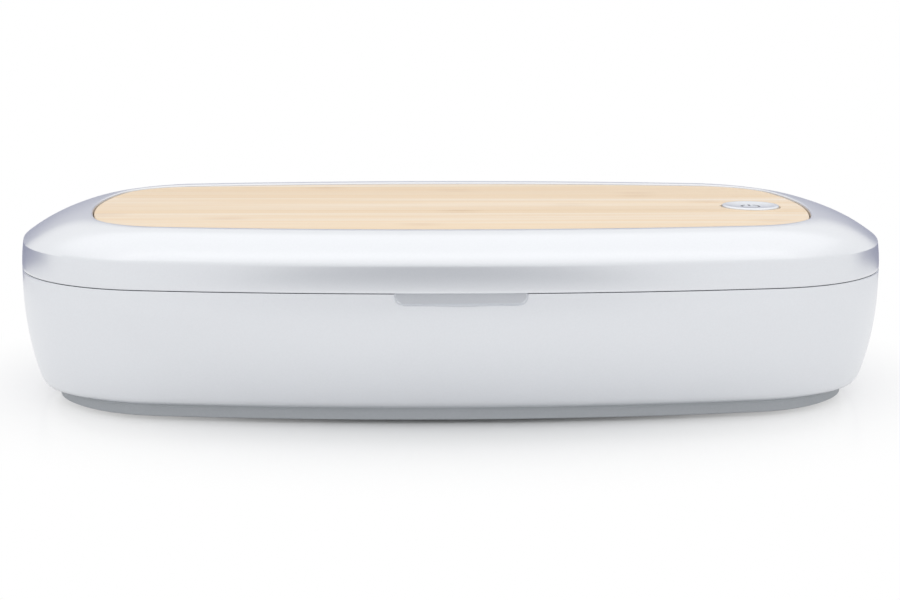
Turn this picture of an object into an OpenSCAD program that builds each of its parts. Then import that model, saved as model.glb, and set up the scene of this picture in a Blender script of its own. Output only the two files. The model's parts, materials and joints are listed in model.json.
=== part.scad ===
// Phone sanitizer box: a shallow case with a bowed outline, a hinged lid with a wooden
// panel and charging coil, and a bright chamber lit by small lamps above and below.
// X runs along the box, Y towards the hinge and Z up. The feet stand on Z = 0.

/* [Body outline] */
// Length of the box along X
body_length = 220; // [204:1:240]
// Depth of the box along Y
body_depth = 114; // [106:1:124]
// Radius of the long front and rear sides, seen from above
side_r = 505; // [420:5:650]
// Radius of the two ends, seen from above
end_r = 88; // [76:1:110]
// Radius that blends each side into each end
corner_r = 38.5; // [34:0.5:42]

/* [Lower housing] */
// Height of the lower housing from its underside to the parting line
housing_h = 30; // [28:0.5:36]
// Radius of the upright curve of its wall
wall_r = 46; // [43:1:80]
// How far below the parting line that curve starts
curve_drop = 3.6; // [3:0.1:5]
// Radius of the turn at the foot of the wall
heel_r = 6; // [4.5:0.5:7]
// Share of the wall's curve that is left at the two ends
end_share = 0.49; // [0.4:0.01:0.8]
// Thickness of the lower housing's wall
housing_wall = 2.4; // [2:0.1:2.8]
// Width of the flat ledge inside the foot of the wall
ledge_w = 7.5; // [6:0.5:9]
// Gap along the parting line
parting_gap = 0.3; // [0.2:0.05:0.5]
// Width of the finger notch at the front
notch_w = 31.4; // [24:0.2:38]
// Height of the finger notch
notch_h = 2.9; // [2.2:0.1:3.6]
// Depth of the finger notch into the wall
notch_depth = 1.2; // [0.8:0.1:1.5]
// Radius of its lower corners
notch_corner_r = 2.4; // [1.2:0.1:2.8]

/* [Plinth and feet] */
// How far the plinth is set in from the outline
plinth_inset = 9.8; // [9:0.1:10.4]
// How much less it is set in at the two ends
plinth_end = 1.6; // [0.8:0.1:2.4]
// Thickness of the plinth plate
plinth_h = 2.6; // [2.2:0.1:3.2]
// How far the feet stand out below the plinth
foot_proud = 1; // [0.6:0.1:1.6]
// Depth of the recess that holds each foot
foot_recess = 0.6; // [0.4:0.1:0.8]
// Radius of a foot
foot_r = 6; // [4.5:0.5:7]
// Distance of the feet from the middle along X
foot_x = 78; // [68:1:82]
// Distance of the feet from the middle along Y
foot_y = 30; // [24:1:32]
// Length of a vent slot
vent_l = 16; // [10:1:22]
// Width of a vent slot
vent_w = 1.6; // [1.2:0.1:2]
// Number of vent slots
vent_count = 9; // [5:1:11]

/* [Lid] */
// Height of the upright rim of the lid
rim_h = 6.6; // [6:0.1:8]
// Rise of the crown from the rim to the wooden panel
crown_rise = 6.7; // [6:0.1:8]
// How far the rim leans in at its top
rim_lean = 0.5; // [0.2:0.1:0.8]
// Thickness of the lid's rim wall
lid_wall = 2.2; // [1.8:0.1:2.6]
// Thickness of the lid under the panel
lid_floor = 1.6; // [1.4:0.1:1.8]
// How full the crown is along the sides, smaller is fuller
crown_side = 0.25; // [0.2:0.01:0.4]
// How full the crown is at the ends, smaller is fuller
crown_end = 0.48; // [0.3:0.01:0.55]

/* [Wooden panel] */
// Length of the panel
panel_length = 183.2; // [176:0.4:186]
// Depth of the panel
panel_depth = 88; // [80:0.5:90]
// Radius of the panel's long sides
panel_side_r = 508; // [420:4:650]
// Radius of the panel's ends
panel_end_r = 95; // [85:1:110]
// Radius of the panel's corners
panel_corner_r = 20.5; // [17:0.5:24]
// Thickness of the panel
panel_h = 2.3; // [2.2:0.1:2.6]
// How far the panel's face lies below the lid's lip
panel_sink = 0.35; // [0.1:0.05:0.4]
// Gap round the panel
panel_gap = 0.35; // [0.2:0.05:0.5]

/* [Chamber] */
// Distance of the chamber's wall from the outline
tub_inset = 10; // [9.6:0.1:12]
// Depth of the chamber below its flange
tub_depth = 20; // [18:0.5:20.5]
// Thickness of the chamber's wall
tub_wall = 1.2; // [1:0.1:1.4]
// Radius between the chamber's wall and floor
tub_r = 5; // [4:0.5:7]
// Height of the ribs that the phone lies on
rib_h = 1.4; // [1:0.1:2]
// Length of those ribs
rib_l = 58; // [44:1:62]
// Number of those ribs on each side of the middle
rib_count = 3; // [2:1:3]
// Spacing of those ribs
rib_pitch = 20; // [16:1:22]
// Thickness of the reflector in the lid
liner_h = 1.2; // [1:0.1:1.4]
// Height of the reflector's hollow above the parting line
liner_rise = 2.4; // [2:0.1:2.6]
// Width of the light seal
seal_w = 1.8; // [1.4:0.1:2]

/* [Lamps] */
// Spacing of the lamps along X
lamp_pitch = 40; // [34:1:42]
// Number of lamps above and below
lamp_count = 4; // [2:1:4]
// Radius of a lamp window
window_r = 4.4; // [3.6:0.1:5]
// Width of the square lamp chip
chip_w = 3.6; // [3:0.1:4]
// Width of the lamp boards
strip_w = 10; // [8:0.5:12]

/* [Hinge] */
// Distance of the hinge axis from the rear of the outline
hinge_inset = 3.4; // [3.2:0.1:3.6]
// Distance of the middle of each knuckle from the middle of the box
knuckle_x = 24; // [21:0.5:25]
// Width of a knuckle
knuckle_w = 10; // [8:0.5:11]
// Radius of a hinge pin
pin_r = 1; // [0.8:0.05:1.1]
// Length of a hinge pin
pin_l = 18; // [16:0.5:18.5]
// Half width of the gap in the middle of the lid's barrel
barrel_gap = 9.6; // [8:0.2:10]
// Clearance of turning surfaces
turn_gap = 0.35; // [0.3:0.05:0.45]
// Clearance of the pin in the lid
pin_gap = 0.05; // [0.03:0.01:0.08]
// Extra room below the barrel at the rear of the lower housing
swing_room = 0.7; // [0.6:0.05:0.9]

/* [Button] */
// Distance of the button from the middle along X
button_x = 78; // [72:0.5:79]
// Distance of the button from the middle along Y
button_y = -3; // [-8:0.5:8]
// Radius of the button
button_r = 7.4; // [6:0.1:8]
// Gap round the button
button_gap = 0.35; // [0.2:0.05:0.5]
// How far the button stands above the panel
button_proud = 0.4; // [0.2:0.05:0.6]
// Thickness of the button's cap
cap_h = 2; // [1.6:0.1:2]
// Depth of the dish in the button's face
dish = 0.45; // [0.3:0.05:0.6]
// Radius of the button's stem
stem_r = 2; // [1.6:0.1:2.4]
// Clearance of the stem in its guide
stem_gap = 0.06; // [0.04:0.01:0.1]
// Travel of the button
press = 0.5; // [0.3:0.05:0.5]

/* [Electronics] */
// Length of the main board
board_l = 64; // [56:1:80]
// Width of the main board
board_w = 38; // [34:1:39]
// Thickness of the circuit boards
board_h = 1; // [0.8:0.1:1]
// Width of the charging socket
socket_w = 8.9; // [8.6:0.1:9.2]
// Height of the charging socket
socket_h = 3.2; // [3:0.1:3.3]
// Radius of the charging coil
coil_r = 23.5; // [20:0.5:25]
// Height of the charging coil
coil_h = 0.8; // [0.6:0.1:0.9]
// Radius of a holding magnet
magnet_r = 2.5; // [2:0.1:2.6]
// Height of a holding magnet
magnet_h = 2; // [1.6:0.1:2.2]
// Radius of the case screws' shanks
screw_r = 1; // [0.8:0.05:1.1]

/* [Hidden] */

// Small fits and edges
eps = 0.01;
pilot_gap = 0.05;
hole_gap = 0.3;
seat_gap = 0.2;
far = 400;

// Heights of the main planes
plinth_z = foot_proud;
housing_z = plinth_z + plinth_h;
parting_z = housing_z + housing_h;
rim_z = parting_z + rim_h;
lip_z = rim_z + crown_rise;
panel_z = lip_z - panel_sink;
pocket_z = panel_z - panel_h;
ceiling_z = pocket_z - lid_floor;

// Plans: half length, half depth, side radius, end radius and corner radius
body_plan = [body_length / 2, body_depth / 2, side_r, end_r, corner_r];
panel_plan = [panel_length / 2, panel_depth / 2, panel_side_r, panel_end_r, panel_corner_r];

// Flat facets along each end, corner and side arc
end_steps = 6;
corner_steps = 9;
side_steps = 12;

function side_centre(plan) = [0, plan[1] - plan[2]];
function end_centre(plan) = [plan[0] - plan[3], 0];

// The corner arc touches the side arc and the end arc from inside,
// so its centre is where two circles about their centres meet
function corner_centre(plan) =
    let (
        c1 = side_centre(plan),
        c2 = end_centre(plan),
        d = norm(c2 - c1),
        along = (c2 - c1) / d,
        r1 = plan[2] - plan[4],
        r2 = plan[3] - plan[4],
        q = (r1 * r1 - r2 * r2 + d * d) / (2 * d)
    )
    c1 + q * along + sqrt(r1 * r1 - q * q) * [along.y, -along.x];

// Half angle of the end arc and of the side arc
function end_angle(plan) =
    let (c3 = corner_centre(plan), c2 = end_centre(plan)) atan2(c3.y, c3.x - c2.x);
function side_angle(plan) =
    let (c3 = corner_centre(plan), c1 = side_centre(plan)) atan2(c3.x, c3.y - c1.y);

// The eight arcs of a plan, counter-clockwise: centre, radius, first angle, span and steps
function plan_arcs(plan) =
    let (
        c1 = side_centre(plan),
        c2 = end_centre(plan),
        c3 = corner_centre(plan),
        e = end_angle(plan),
        s = side_angle(plan),
        k = 90 - s - e
    )
    [
        [c2, plan[3], -e, 2 * e, end_steps],
        [c3, plan[4], e, k, corner_steps],
        [c1, plan[2], 90 - s, 2 * s, side_steps],
        [[-c3.x, c3.y], plan[4], 90 + s, k, corner_steps],
        [-c2, plan[3], 180 - e, 2 * e, end_steps],
        [-c3, plan[4], 180 + e, k, corner_steps],
        [-c1, plan[2], 270 - s, 2 * s, side_steps],
        [[c3.x, -c3.y], plan[4], 270 + s, k, corner_steps],
    ];

// Points of a plan drawn in by an inset
function plan_points(plan, inset = 0) = [
    for (a = plan_arcs(plan), i = [0 : a[4] - 1])
        let (t = a[2] + a[3] * i / a[4])
            a[0] + (a[1] - inset) * [cos(t), sin(t)]
];

// A ring at one height: the plan drawn in
function plan_ring(plan, inset, z) = [for (p = plan_points(plan, inset)) [p.x, p.y, z]];

// Outline of the box at a place on its long side, and how far it falls back there
function side_fall(x) = side_r - sqrt(side_r * side_r - x * x);

// Solid through rings of equal length, with flat ends, or closed on itself as a loop.
// The rings run up the outside and down the inside.
module ring_solid(rings, loop = false) {
    n = len(rings[0]);
    m = len(rings);
    last = loop ? m - 1 : m - 2;
    points = [for (r = rings) each r];
    sides = [
        for (k = [0 : last], i = [0 : n - 1])
            let (a = k * n, b = ((k + 1) % m) * n, j = (i + 1) % n)
                each [[a + i, b + j, a + j], [a + i, b + i, b + j]]
    ];
    ends = loop ? [] : [
        [for (i = [0 : n - 1]) i],
        [for (i = [0 : n - 1]) (m - 1) * n + n - 1 - i],
    ];
    polyhedron(points = points, faces = concat(sides, ends), convexity = 8);
}

// Flat plate with the plan's outline
module plan_plate(plan, inset, z, h) {
    translate([0, 0, z])
        linear_extrude(h) polygon(plan_points(plan, inset));
}

// Cylinder about the hinge axis between two places along X
module hinge_round(r, x1, x2) {
    translate([x1, hinge_y, hinge_z])
        rotate([0, 90, 0]) cylinder(r = r, h = x2 - x1, $fn = 64);
}

// Rounded slot lying along X
module slot(length, width) {
    square([length - width, width], center = true);
    for (side = [-1, 1])
        translate([side * (length - width) / 2, 0]) circle(d = width, $fn = 32);
}

// Places children at both ends of the box
module both_ends() {
    children();
    mirror([1, 0, 0]) children();
}

// Profile of the lower housing's wall: upright, then two arcs, one long and one at the heel
curve_z = parting_z - curve_drop;
heel_z = housing_z + heel_r;
heel_inset = wall_r - sqrt(pow(wall_r - heel_r, 2) - pow(curve_z - heel_z, 2));
turn_angle = asin((curve_z - heel_z) / (wall_r - heel_r));
function wall_inset(z) = wall_r - sqrt(wall_r * wall_r - pow(max(curve_z - z, 0), 2));

// How far the outline faces one of the two ends, from 0 to 1, from its normal's X
function facing_end(x) = pow(x, 4);

// A ring round the outline whose inset is less by some amount where it faces the ends
function bowed_ring(inset, end_less, z) =
    let (outer = plan_points(body_plan), inner = plan_points(body_plan, 1))
    [
        for (i = [0 : len(outer) - 1])
            let (
                n = inner[i] - outer[i],
                p = outer[i] + (inset - end_less * facing_end(n.x)) * n
            )
                [p.x, p.y, z]
    ];

// Inset, what it is less by at the ends, and height of each point of the wall's curve from
// its start down to the heel, at a depth into the wall
function wall_curve(depth, upright_steps, heel_steps) = [
    for (i = [0 : upright_steps])
        let (t = turn_angle * i / upright_steps)
            [
                wall_r - (wall_r - depth) * cos(t),
                (1 - end_share) * wall_r * (1 - cos(t)),
                curve_z - (wall_r - depth) * sin(t)
            ],
    for (i = [1 : heel_steps])
        let (t = turn_angle + (90 - turn_angle) * i / heel_steps)
            [
                heel_inset - (heel_r - depth) * cos(t),
                (1 - end_share) * (heel_inset - heel_r * cos(t)),
                heel_z - (heel_r - depth) * sin(t)
            ],
];

// Hinge
hinge_y = body_depth / 2 - hinge_inset;
hinge_z = parting_z;
barrel_r = hinge_inset;
cove_r = barrel_r + turn_gap;
rolled_x = sqrt(2 * side_r * hinge_inset);
cove_x = rolled_x + turn_gap;
rear_top = hinge_z - barrel_r - swing_room;
shelf_h = 8.5;
shelf_x = knuckle_x + knuckle_w / 2 + 9;
base_top = parting_z - parting_gap / 2;
lid_bottom = parting_z + parting_gap / 2;

// Chamber
flange_drop = 1.2;
flange_h = 1.4;
flange_top = parting_z - flange_drop;
flange_z = flange_top - flange_h;
flange_inset = housing_wall + 0.4;
tub_draft = 0.4;
tub_floor = flange_top - tub_depth;
tub_under = tub_floor - tub_wall;
tub_rear = hinge_y - cove_r - seat_gap;

// Screws, bosses and boards in the base
boss_r = 3;
boss_top = tub_under - 0.4;
ledge_z = housing_z + housing_wall;
side_screw = [58, body_depth / 2 - side_fall(58) - plinth_inset - 4];
end_screw = [body_length / 2 - plinth_inset - 4, 0];
case_screws = [
    side_screw, [-side_screw.x, side_screw.y], -side_screw, [side_screw.x, -side_screw.y],
    end_screw, -end_screw,
];
head_r = 2.3;
head_h = 1.1;
counterbore = 1.2;
board_z = ledge_z + seat_gap;
board_top = board_z + board_h;
heel_inner = heel_inset - sqrt(pow(heel_r - housing_wall, 2) - pow(heel_z - board_z, 2));
board_far = body_depth / 2 - side_fall(board_l / 2) - heel_inner - hole_gap;
board_y = board_far - board_w / 2;
board_screw_x = board_l / 2 - 4;
board_screw_ys = [board_y - board_w / 2 + 4.5, body_depth / 2 - plinth_inset - ledge_w - 3.8];
socket_y = body_depth / 2 - wall_inset(board_top + socket_h / 2) - 0.5;
socket_l = 7.3;
tongue_w = 14;
tongue_y = socket_y - 3.3;
strip_l = (lamp_count - 1) * lamp_pitch + 12;
lamp_h = 1;
peg_r = 2;
peg_pin_r = 1;
base_strip_z = tub_under - 1.8 - board_h;
magnet_inset = 5.6;
magnet_z = flange_z - 0.4 - magnet_h;

// Lid interior
liner_z = lid_bottom + 0.15;
liner_under = parting_z + liner_rise;
liner_top = liner_under + liner_h;
lid_strip_z = liner_top + 0.8;
lid_lamp_h = 0.75;
liner_screw_x = 64;
liner_screw_inset = 15;
liner_end_inset = 17;
liner_screw_y = body_depth / 2 - side_fall(liner_screw_x) - liner_screw_inset;
liner_screw_places = [
    for (sx = [-1, 1], sy = [-1, 1]) [sx * liner_screw_x, sy * liner_screw_y],
    for (side = [-1, 1]) [side * (body_length / 2 - liner_end_inset), 0],
];
lid_boss_r = 2.6;
coil_seat_h = 1.15;
coil_recess = coil_h + 0.6 + 0.05;
ferrite_h = 0.6;
charge_z = ceiling_z - coil_seat_h - 1.1 - board_h;
charge_l = 60;
charge_w = 36;
lid_magnet_z = liner_z + liner_h + seat_gap;

// Button stack
cap_top = panel_z + button_proud;
cap_z = cap_top - cap_h;
switch_z = liner_top + 1;
switch_top = switch_z + board_h + 1.4;
stem_z = switch_top + press + 0.1;
bush_r = stem_r + 1.7;
plunger_r = 1.6;
switch_screw_x = 7;
switch_board_l = 20;
switch_board_w = 12;
switch_w = 6;

// Blocks on the two circuit boards: place of a corner, then length, width and height
chip_h = 0.9;
coil_part_h = 3;
charge_blocks = [
    [[-12, -13], [6, 6, chip_h]],
    [[-1, -13], [5, 5, chip_h]],
    [[-14, 8], [7, 4, chip_h]],
];
board_blocks = [
    [[-3.5, -9], [7, 7, chip_h]],
    [[12, -12], [6, 6, coil_part_h]],
    [[10, 6], [5, 4, 1.5]],
    [[-24, 7], [9, 4.5, coil_part_h]],
];
board_capacitors = [[-20, -4], [-14, -4]];
capacitor_r = 2.5;
capacitor_h = 3.3;

function lerp(a, b, t) = a + (b - a) * t;

// One ring of the crown. Each point runs from the rim's edge to the lip round the panel on
// a curve with one control point, which lies further in and lower at the ends than at the
// sides. The heights are shares of the crown's rise.
lip_round = 0.35;
control_side = 1.13;
control_end = 0.93;
function crown_ring(t) =
    let (
        edge = plan_points(body_plan, rim_lean),
        lip = plan_points(panel_plan, -panel_gap - lip_round)
    )
    [
        for (i = [0 : len(edge) - 1])
            let (
                run = lip[i] - edge[i],
                endness = pow(run.x / norm(run), 2),
                reach = lerp(crown_side, crown_end, endness),
                s = 2 * t * (1 - t) * reach + t * t,
                p = edge[i] + s * run,
                control = lerp(control_side, control_end, endness),
                z = rim_z + crown_rise * (2 * t * (1 - t) * control + t * t)
            )
                [p.x, p.y, z]
    ];

module base_shell() {
    color("silver") difference() {
        union() {
            difference() {
                union() {
                    housing_wall_ring();
                    hinge_shelf();
                    case_bosses();
                    flange_ribs();
                    magnet_blocks();
                    sensor_shelf();
                }
                hinge_round(cove_r, -cove_x, cove_x);
                translate([-cove_x, hinge_y, rear_top])
                    cube([2 * cove_x, hinge_inset + 2, far]);
                finger_notch();
                socket_slot();
            }
            both_ends() base_knuckle();
        }
        both_ends()
            hinge_round(pin_r, knuckle_x - knuckle_w, knuckle_x + knuckle_w);
        for (p = case_screws)
            translate([p.x, p.y, housing_z - eps])
                cylinder(r = screw_r + pilot_gap, h = boss_top - housing_z - 0.8, $fn = 24);
        base_magnet_places()
            translate([0, 0, magnet_z])
                cylinder(r = magnet_r + pilot_gap, h = far, $fn = 32);
    }
}

// The swept wall with its ledge, as one closed profile carried round the outline
module housing_wall_ring() {
    outer = concat([[0.25, 0, base_top], [0, 0, base_top - 0.25]], wall_curve(0, 5, 4));
    inner = concat([[housing_wall, 0, base_top]], wall_curve(housing_wall, 4, 3));
    ledge_end = plinth_inset + ledge_w;
    profile = concat(
        [for (i = [len(outer) - 1 : -1 : 0]) outer[i]],
        inner,
        [[ledge_end, 0, ledge_z], [ledge_end, 0, housing_z]]
    );
    ring_solid([for (p = profile) bowed_ring(p[0], p[1], p[2])], loop = true);
}

// Block inside the rear wall that carries the knuckles
module hinge_shelf() {
    rear = body_depth / 2 - side_fall(shelf_x) - wall_inset(rear_top - shelf_h) - housing_wall / 2;
    front = hinge_y - cove_r;
    translate([-shelf_x, front, rear_top - shelf_h])
        cube([2 * shelf_x, rear - front, shelf_h]);
}

// Knuckle on the lower housing: a round eye on a web that stands on the shelf
module base_knuckle() {
    x1 = knuckle_x - knuckle_w / 2;
    translate([x1, hinge_y - barrel_r, rear_top - 1])
        cube([knuckle_w, barrel_r - 0.4, hinge_z - rear_top + 1]);
    intersection() {
        hinge_round(barrel_r, x1, x1 + knuckle_w);
        plan_plate(body_plan, 0, 0, parting_z + 20);
    }
}

module case_bosses() {
    for (p = case_screws)
        translate([p.x, p.y, ledge_z - 1])
            cylinder(r = boss_r, h = boss_top - ledge_z + 1, $fn = 32);
}

// Ribs between the wall and the chamber, which carry the chamber's flange.
// Each stands square to the outline, at an angle on one of its arcs.
module wall_rib(arc, angle, thick, low) {
    inner_r = arc[1] - tub_inset + tub_wall + 0.3;
    share = 1 - (1 - end_share) * facing_end(cos(angle));
    steps = 4;
    outline = concat(
        [[inner_r, flange_z], [inner_r, low]],
        [
            for (i = [0 : steps])
                let (z = lerp(low, flange_z, i / steps))
                    [arc[1] - share * wall_inset(z) - housing_wall / 2, z]
        ]
    );
    translate(arc[0]) rotate([0, 0, angle]) translate([0, thick / 2, 0])
        rotate([90, 0, 0]) linear_extrude(thick) polygon(outline);
}

rib_low = housing_z + 14;
module flange_ribs() {
    arcs = plan_arcs(body_plan);
    for (turn = [-4.5, -7.4, 4.5, 7.4])
        wall_rib(arcs[6], 270 + turn, 1.6, rib_low);
    for (turn = [-7.4, 7.4])
        wall_rib(arcs[2], 90 + turn, 1.6, rib_low);
    for (turn = [-10, 10]) {
        wall_rib(arcs[0], turn, 1.6, rib_low);
        wall_rib(arcs[4], 180 + turn, 1.6, rib_low);
    }
}

// Places children at the two front corners, where the magnets are
module base_magnet_places() {
    arcs = plan_arcs(body_plan);
    for (arc = [arcs[5], arcs[7]])
        translate(arc[0]) rotate([0, 0, arc[2] + arc[3] / 2])
            translate([arc[1] - magnet_inset, 0, 0]) children();
}

module magnet_blocks() {
    arcs = plan_arcs(body_plan);
    for (arc = [arcs[5], arcs[7]])
        wall_rib(arc, arc[2] + arc[3] / 2, 2 * magnet_r + 3, magnet_z - 5);
}

sensor_place = [50, 0];
sensor_z = flange_z - 2.4;
module sensor_shelf() {
    rear = -body_depth / 2 + side_fall(sensor_place.x) + housing_wall / 2 + 0.6;
    translate([sensor_place.x - 7, rear, sensor_z - 3])
        cube([14, 5.4, 3]);
}

// Outline of the finger notch, seen from the front, drawn in by some amount
module notch_outline(draw) {
    half = notch_w / 2 - draw;
    corner_x = half - notch_corner_r;
    hull() {
        translate([-half, -notch_h + notch_corner_r + draw])
            square([2 * half, notch_h + 2]);
        for (side = [-1, 1])
            translate([side * corner_x, -notch_h + notch_corner_r + draw])
                circle(r = notch_corner_r, $fn = 48);
    }
}

// Shallow pocket in the front edge with an upright floor and sloping sides
module finger_notch() {
    slope = 0.45;
    hull() {
        translate([0, notch_depth - body_depth / 2, parting_z])
            rotate([90, 0, 0]) linear_extrude(0.01) notch_outline(slope);
        translate([0, -body_depth / 2, parting_z])
            rotate([90, 0, 0]) linear_extrude(2) notch_outline(0);
    }
}

// Oval opening for the charging socket, and room inside the wall's foot for the board's tongue
module socket_slot() {
    translate([0, body_depth / 2 + 2, board_top + socket_h / 2])
        rotate([90, 0, 0]) linear_extrude(16)
            slot(socket_w + 0.5, socket_h + 0.5);
    translate([-tongue_w / 2 - hole_gap, tongue_y - 8, ledge_z])
        cube([tongue_w + 2 * hole_gap, 8 + hole_gap, socket_h + 2]);
}

// Plinth plate that closes the underside, with foot recesses, screw holes and vents
module bottom_plate() {
    color("dimgray") difference() {
        union() {
            ring_solid([
                bowed_ring(plinth_inset + 0.5, plinth_end, plinth_z),
                bowed_ring(plinth_inset, plinth_end, plinth_z + 0.5),
                bowed_ring(plinth_inset, plinth_end, housing_z),
            ]);
            main_board_places()
                translate([0, 0, housing_z - eps])
                    cylinder(r = 2.4, h = board_z - housing_z + eps, $fn = 32);
        }
        foot_places()
            translate([0, 0, plinth_z - 1]) cylinder(r = foot_r + 0.2, h = foot_recess + 1, $fn = 64);
        for (p = case_screws) translate(p) {
            translate([0, 0, plinth_z - 1]) cylinder(r = head_r + hole_gap, h = counterbore + 1, $fn = 32);
            cylinder(r = screw_r + hole_gap, h = far, $fn = 32);
        }
        main_board_places()
            translate([0, 0, plinth_z + 0.8]) cylinder(r = screw_r * 0.8 + pilot_gap, h = far, $fn = 24);
        for (i = [0 : vent_count - 1])
            translate([(i - (vent_count - 1) / 2) * vent_w * 2.4, 0, plinth_z - 1])
                rotate([0, 0, 90]) linear_extrude(plinth_h + 2) slot(vent_l, vent_w);
    }
}

module foot_places() {
    for (sx = [-1, 1], sy = [-1, 1])
        translate([sx * foot_x, sy * foot_y, 0]) children();
}

module main_board_places() {
    for (sx = [-1, 1], y = board_screw_ys)
        translate([sx * board_screw_x, y, 0]) children();
}

module foot_pads() {
    edge = 0.4;
    color("black") foot_places() {
        cylinder(r1 = foot_r - edge, r2 = foot_r, h = edge, $fn = 64);
        translate([0, 0, edge]) cylinder(r = foot_r, h = foot_proud + foot_recess - edge, $fn = 64);
    }
}

// Pan-head screw that points up, with a cross recess in its head
module up_screw(shank_r, shank_l, r, h) {
    difference() {
        union() {
            translate([0, 0, -h]) cylinder(r = r, h = h, $fn = 32);
            translate([0, 0, -eps]) cylinder(r = shank_r, h = shank_l + eps, $fn = 24);
        }
        for (turn = [0, 90])
            rotate([0, 0, turn]) translate([-r * 0.6, -r * 0.12, -h - eps])
                cube([r * 1.2, r * 0.24, h * 0.6]);
    }
}

module bottom_screws() {
    color("gray") for (p = case_screws)
        translate([p.x, p.y, plinth_z + counterbore])
            up_screw(screw_r, 7, head_r, head_h);
}

// Bright moulded tub: flange, drafted wall, round foot and floor with ribs and lamp holes
module chamber_tub() {
    edge = 0.5;
    inner = tub_curve(0, 3);
    outer = tub_curve(tub_wall, 3);
    n = len(inner);
    profile = concat(
        [for (i = [len(outer) - 1 : -1 : 0]) outer[i]],
        [[flange_inset, flange_z], [flange_inset, flange_top]],
        [[tub_inset - edge, flange_top]],
        [[tub_inset, flange_top - edge]],
        [for (i = [1 : n - 1]) inner[i]]
    );
    color("gainsboro") difference() {
        union() {
            ring_solid([for (p = profile) plan_ring(body_plan, p[0], p[1])]);
            tub_ribs();
            strip_pegs() translate([0, 0, tub_under - 1.8])
                cylinder(r = peg_r, h = 1.8 + eps, $fn = 32);
            strip_pegs() translate([0, 0, base_strip_z - 0.4])
                cylinder(r = peg_pin_r, h = board_h + 1, $fn = 24);
        }
        translate([-cove_x - 1, tub_rear, flange_z - 1])
            cube([2 * cove_x + 2, 20, 20]);
        lamp_places() {
            translate([0, 0, tub_under - 1]) cylinder(r = window_r - 0.6, h = far, $fn = 48);
            translate([0, 0, tub_floor - 0.8]) cylinder(r = window_r + 0.1, h = far, $fn = 48);
        }
    }
}

// Profile of the tub's wall from the flange down to the floor, at a depth into the wall
function tub_curve(depth, steps) =
    let (
        r = tub_r + depth,
        bottom = tub_inset + tub_draft,
        top_z = depth > 0 ? flange_z : flange_top
    )
    concat(
        [[tub_inset - depth, top_z]],
        [
            for (i = [0 : steps])
                let (t = 90 * i / steps)
                    [bottom + tub_r - r * cos(t), tub_floor + tub_r - r * sin(t)]
        ]
    );

// Ribs across the floor with round tops, between the lamps
module tub_ribs() {
    w = 1.8;
    for (side = [-1, 1], i = [0 : rib_count - 1])
        translate([side * (i + 0.5) * rib_pitch - side * 10 + side * rib_pitch / 2, rib_l / 2, tub_floor])
            rotate([90, 0, 0]) linear_extrude(rib_l) {
                translate([-w / 2, -eps]) square([w, rib_h - w / 2 + eps]);
                translate([0, rib_h - w / 2]) circle(d = w, $fn = 24);
            }
}

// Places children at the lamps
module lamp_places() {
    for (i = [0 : lamp_count - 1])
        translate([(i - (lamp_count - 1) / 2) * lamp_pitch, 0, 0]) children();
}

// Places children between the lamps, where pegs hold the lamp boards
module strip_pegs() {
    for (i = [0 : lamp_count - 2])
        translate([(i - (lamp_count - 2) / 2) * lamp_pitch, 0, 0]) children();
}

module window_disc() {
    cylinder(r = window_r, h = 0.75, $fn = 48);
}

module tub_windows() {
    color("lightcyan") lamp_places() translate([0, 0, tub_floor - 0.8]) window_disc();
}

module lamp_strip() {
    difference() {
        translate([-strip_l / 2, -strip_w / 2, 0]) cube([strip_l, strip_w, board_h]);
        strip_pegs() translate([0, 0, -1]) cylinder(r = peg_pin_r + pilot_gap, h = board_h + 2, $fn = 24);
    }
}

// Square lamp chip with a round dish
module lamp_chip(h) {
    difference() {
        translate([-chip_w / 2, -chip_w / 2, 0]) cube([chip_w, chip_w, h]);
        translate([0, 0, h * 0.5]) cylinder(r = chip_w * 0.36, h = h, $fn = 32);
    }
}

module base_lamp_board() {
    color("white") translate([0, 0, base_strip_z]) lamp_strip();
}

module base_lamps() {
    color("gold") lamp_places() translate([0, 0, base_strip_z + board_h]) lamp_chip(lamp_h);
}

module main_board() {
    color("darkgreen") difference() {
        union() {
            translate([-board_l / 2, board_y - board_w / 2, board_z]) cube([board_l, board_w, board_h]);
            translate([-tongue_w / 2, board_far - 1, board_z])
                cube([tongue_w, tongue_y - board_far + 1, board_h]);
        }
        main_board_places()
            translate([0, 0, board_z - 1]) cylinder(r = screw_r * 0.8 + hole_gap, h = 3, $fn = 24);
    }
}

// Parts on the main board: controller, coil, capacitors and connectors
module board_parts() {
    color("dimgray") translate([0, board_y, board_top]) {
        for (block = board_blocks) translate(block[0]) cube(block[1]);
        for (p = board_capacitors)
            translate(p) cylinder(r = capacitor_r, h = capacitor_h, $fn = 32);
        for (i = [0 : 5]) translate([-8 + i * 3, -14, 0]) cube([1.6, 0.8, 0.5]);
    }
}

module board_screws() {
    color("gray") main_board_places()
        translate([0, 0, board_top]) mirror([0, 0, 1]) up_screw(screw_r * 0.8, 4, 1.8, 1);
}

// Charging socket: a thin oval shell with a tongue inside
module usb_socket() {
    wall = 0.3;
    color("silver") translate([0, socket_y, board_top + socket_h / 2]) rotate([90, 0, 0]) {
        difference() {
            linear_extrude(socket_l) slot(socket_w, socket_h);
            translate([0, 0, -1]) linear_extrude(socket_l - 0.2)
                slot(socket_w - 2 * wall, socket_h - 2 * wall);
        }
        translate([-3.3, -0.35, 0.8]) cube([6.6, 0.7, socket_l - 1.5]);
    }
}

module base_magnets() {
    color("silver") base_magnet_places()
        translate([0, 0, magnet_z]) cylinder(r = magnet_r, h = magnet_h, $fn = 48);
}

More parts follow.
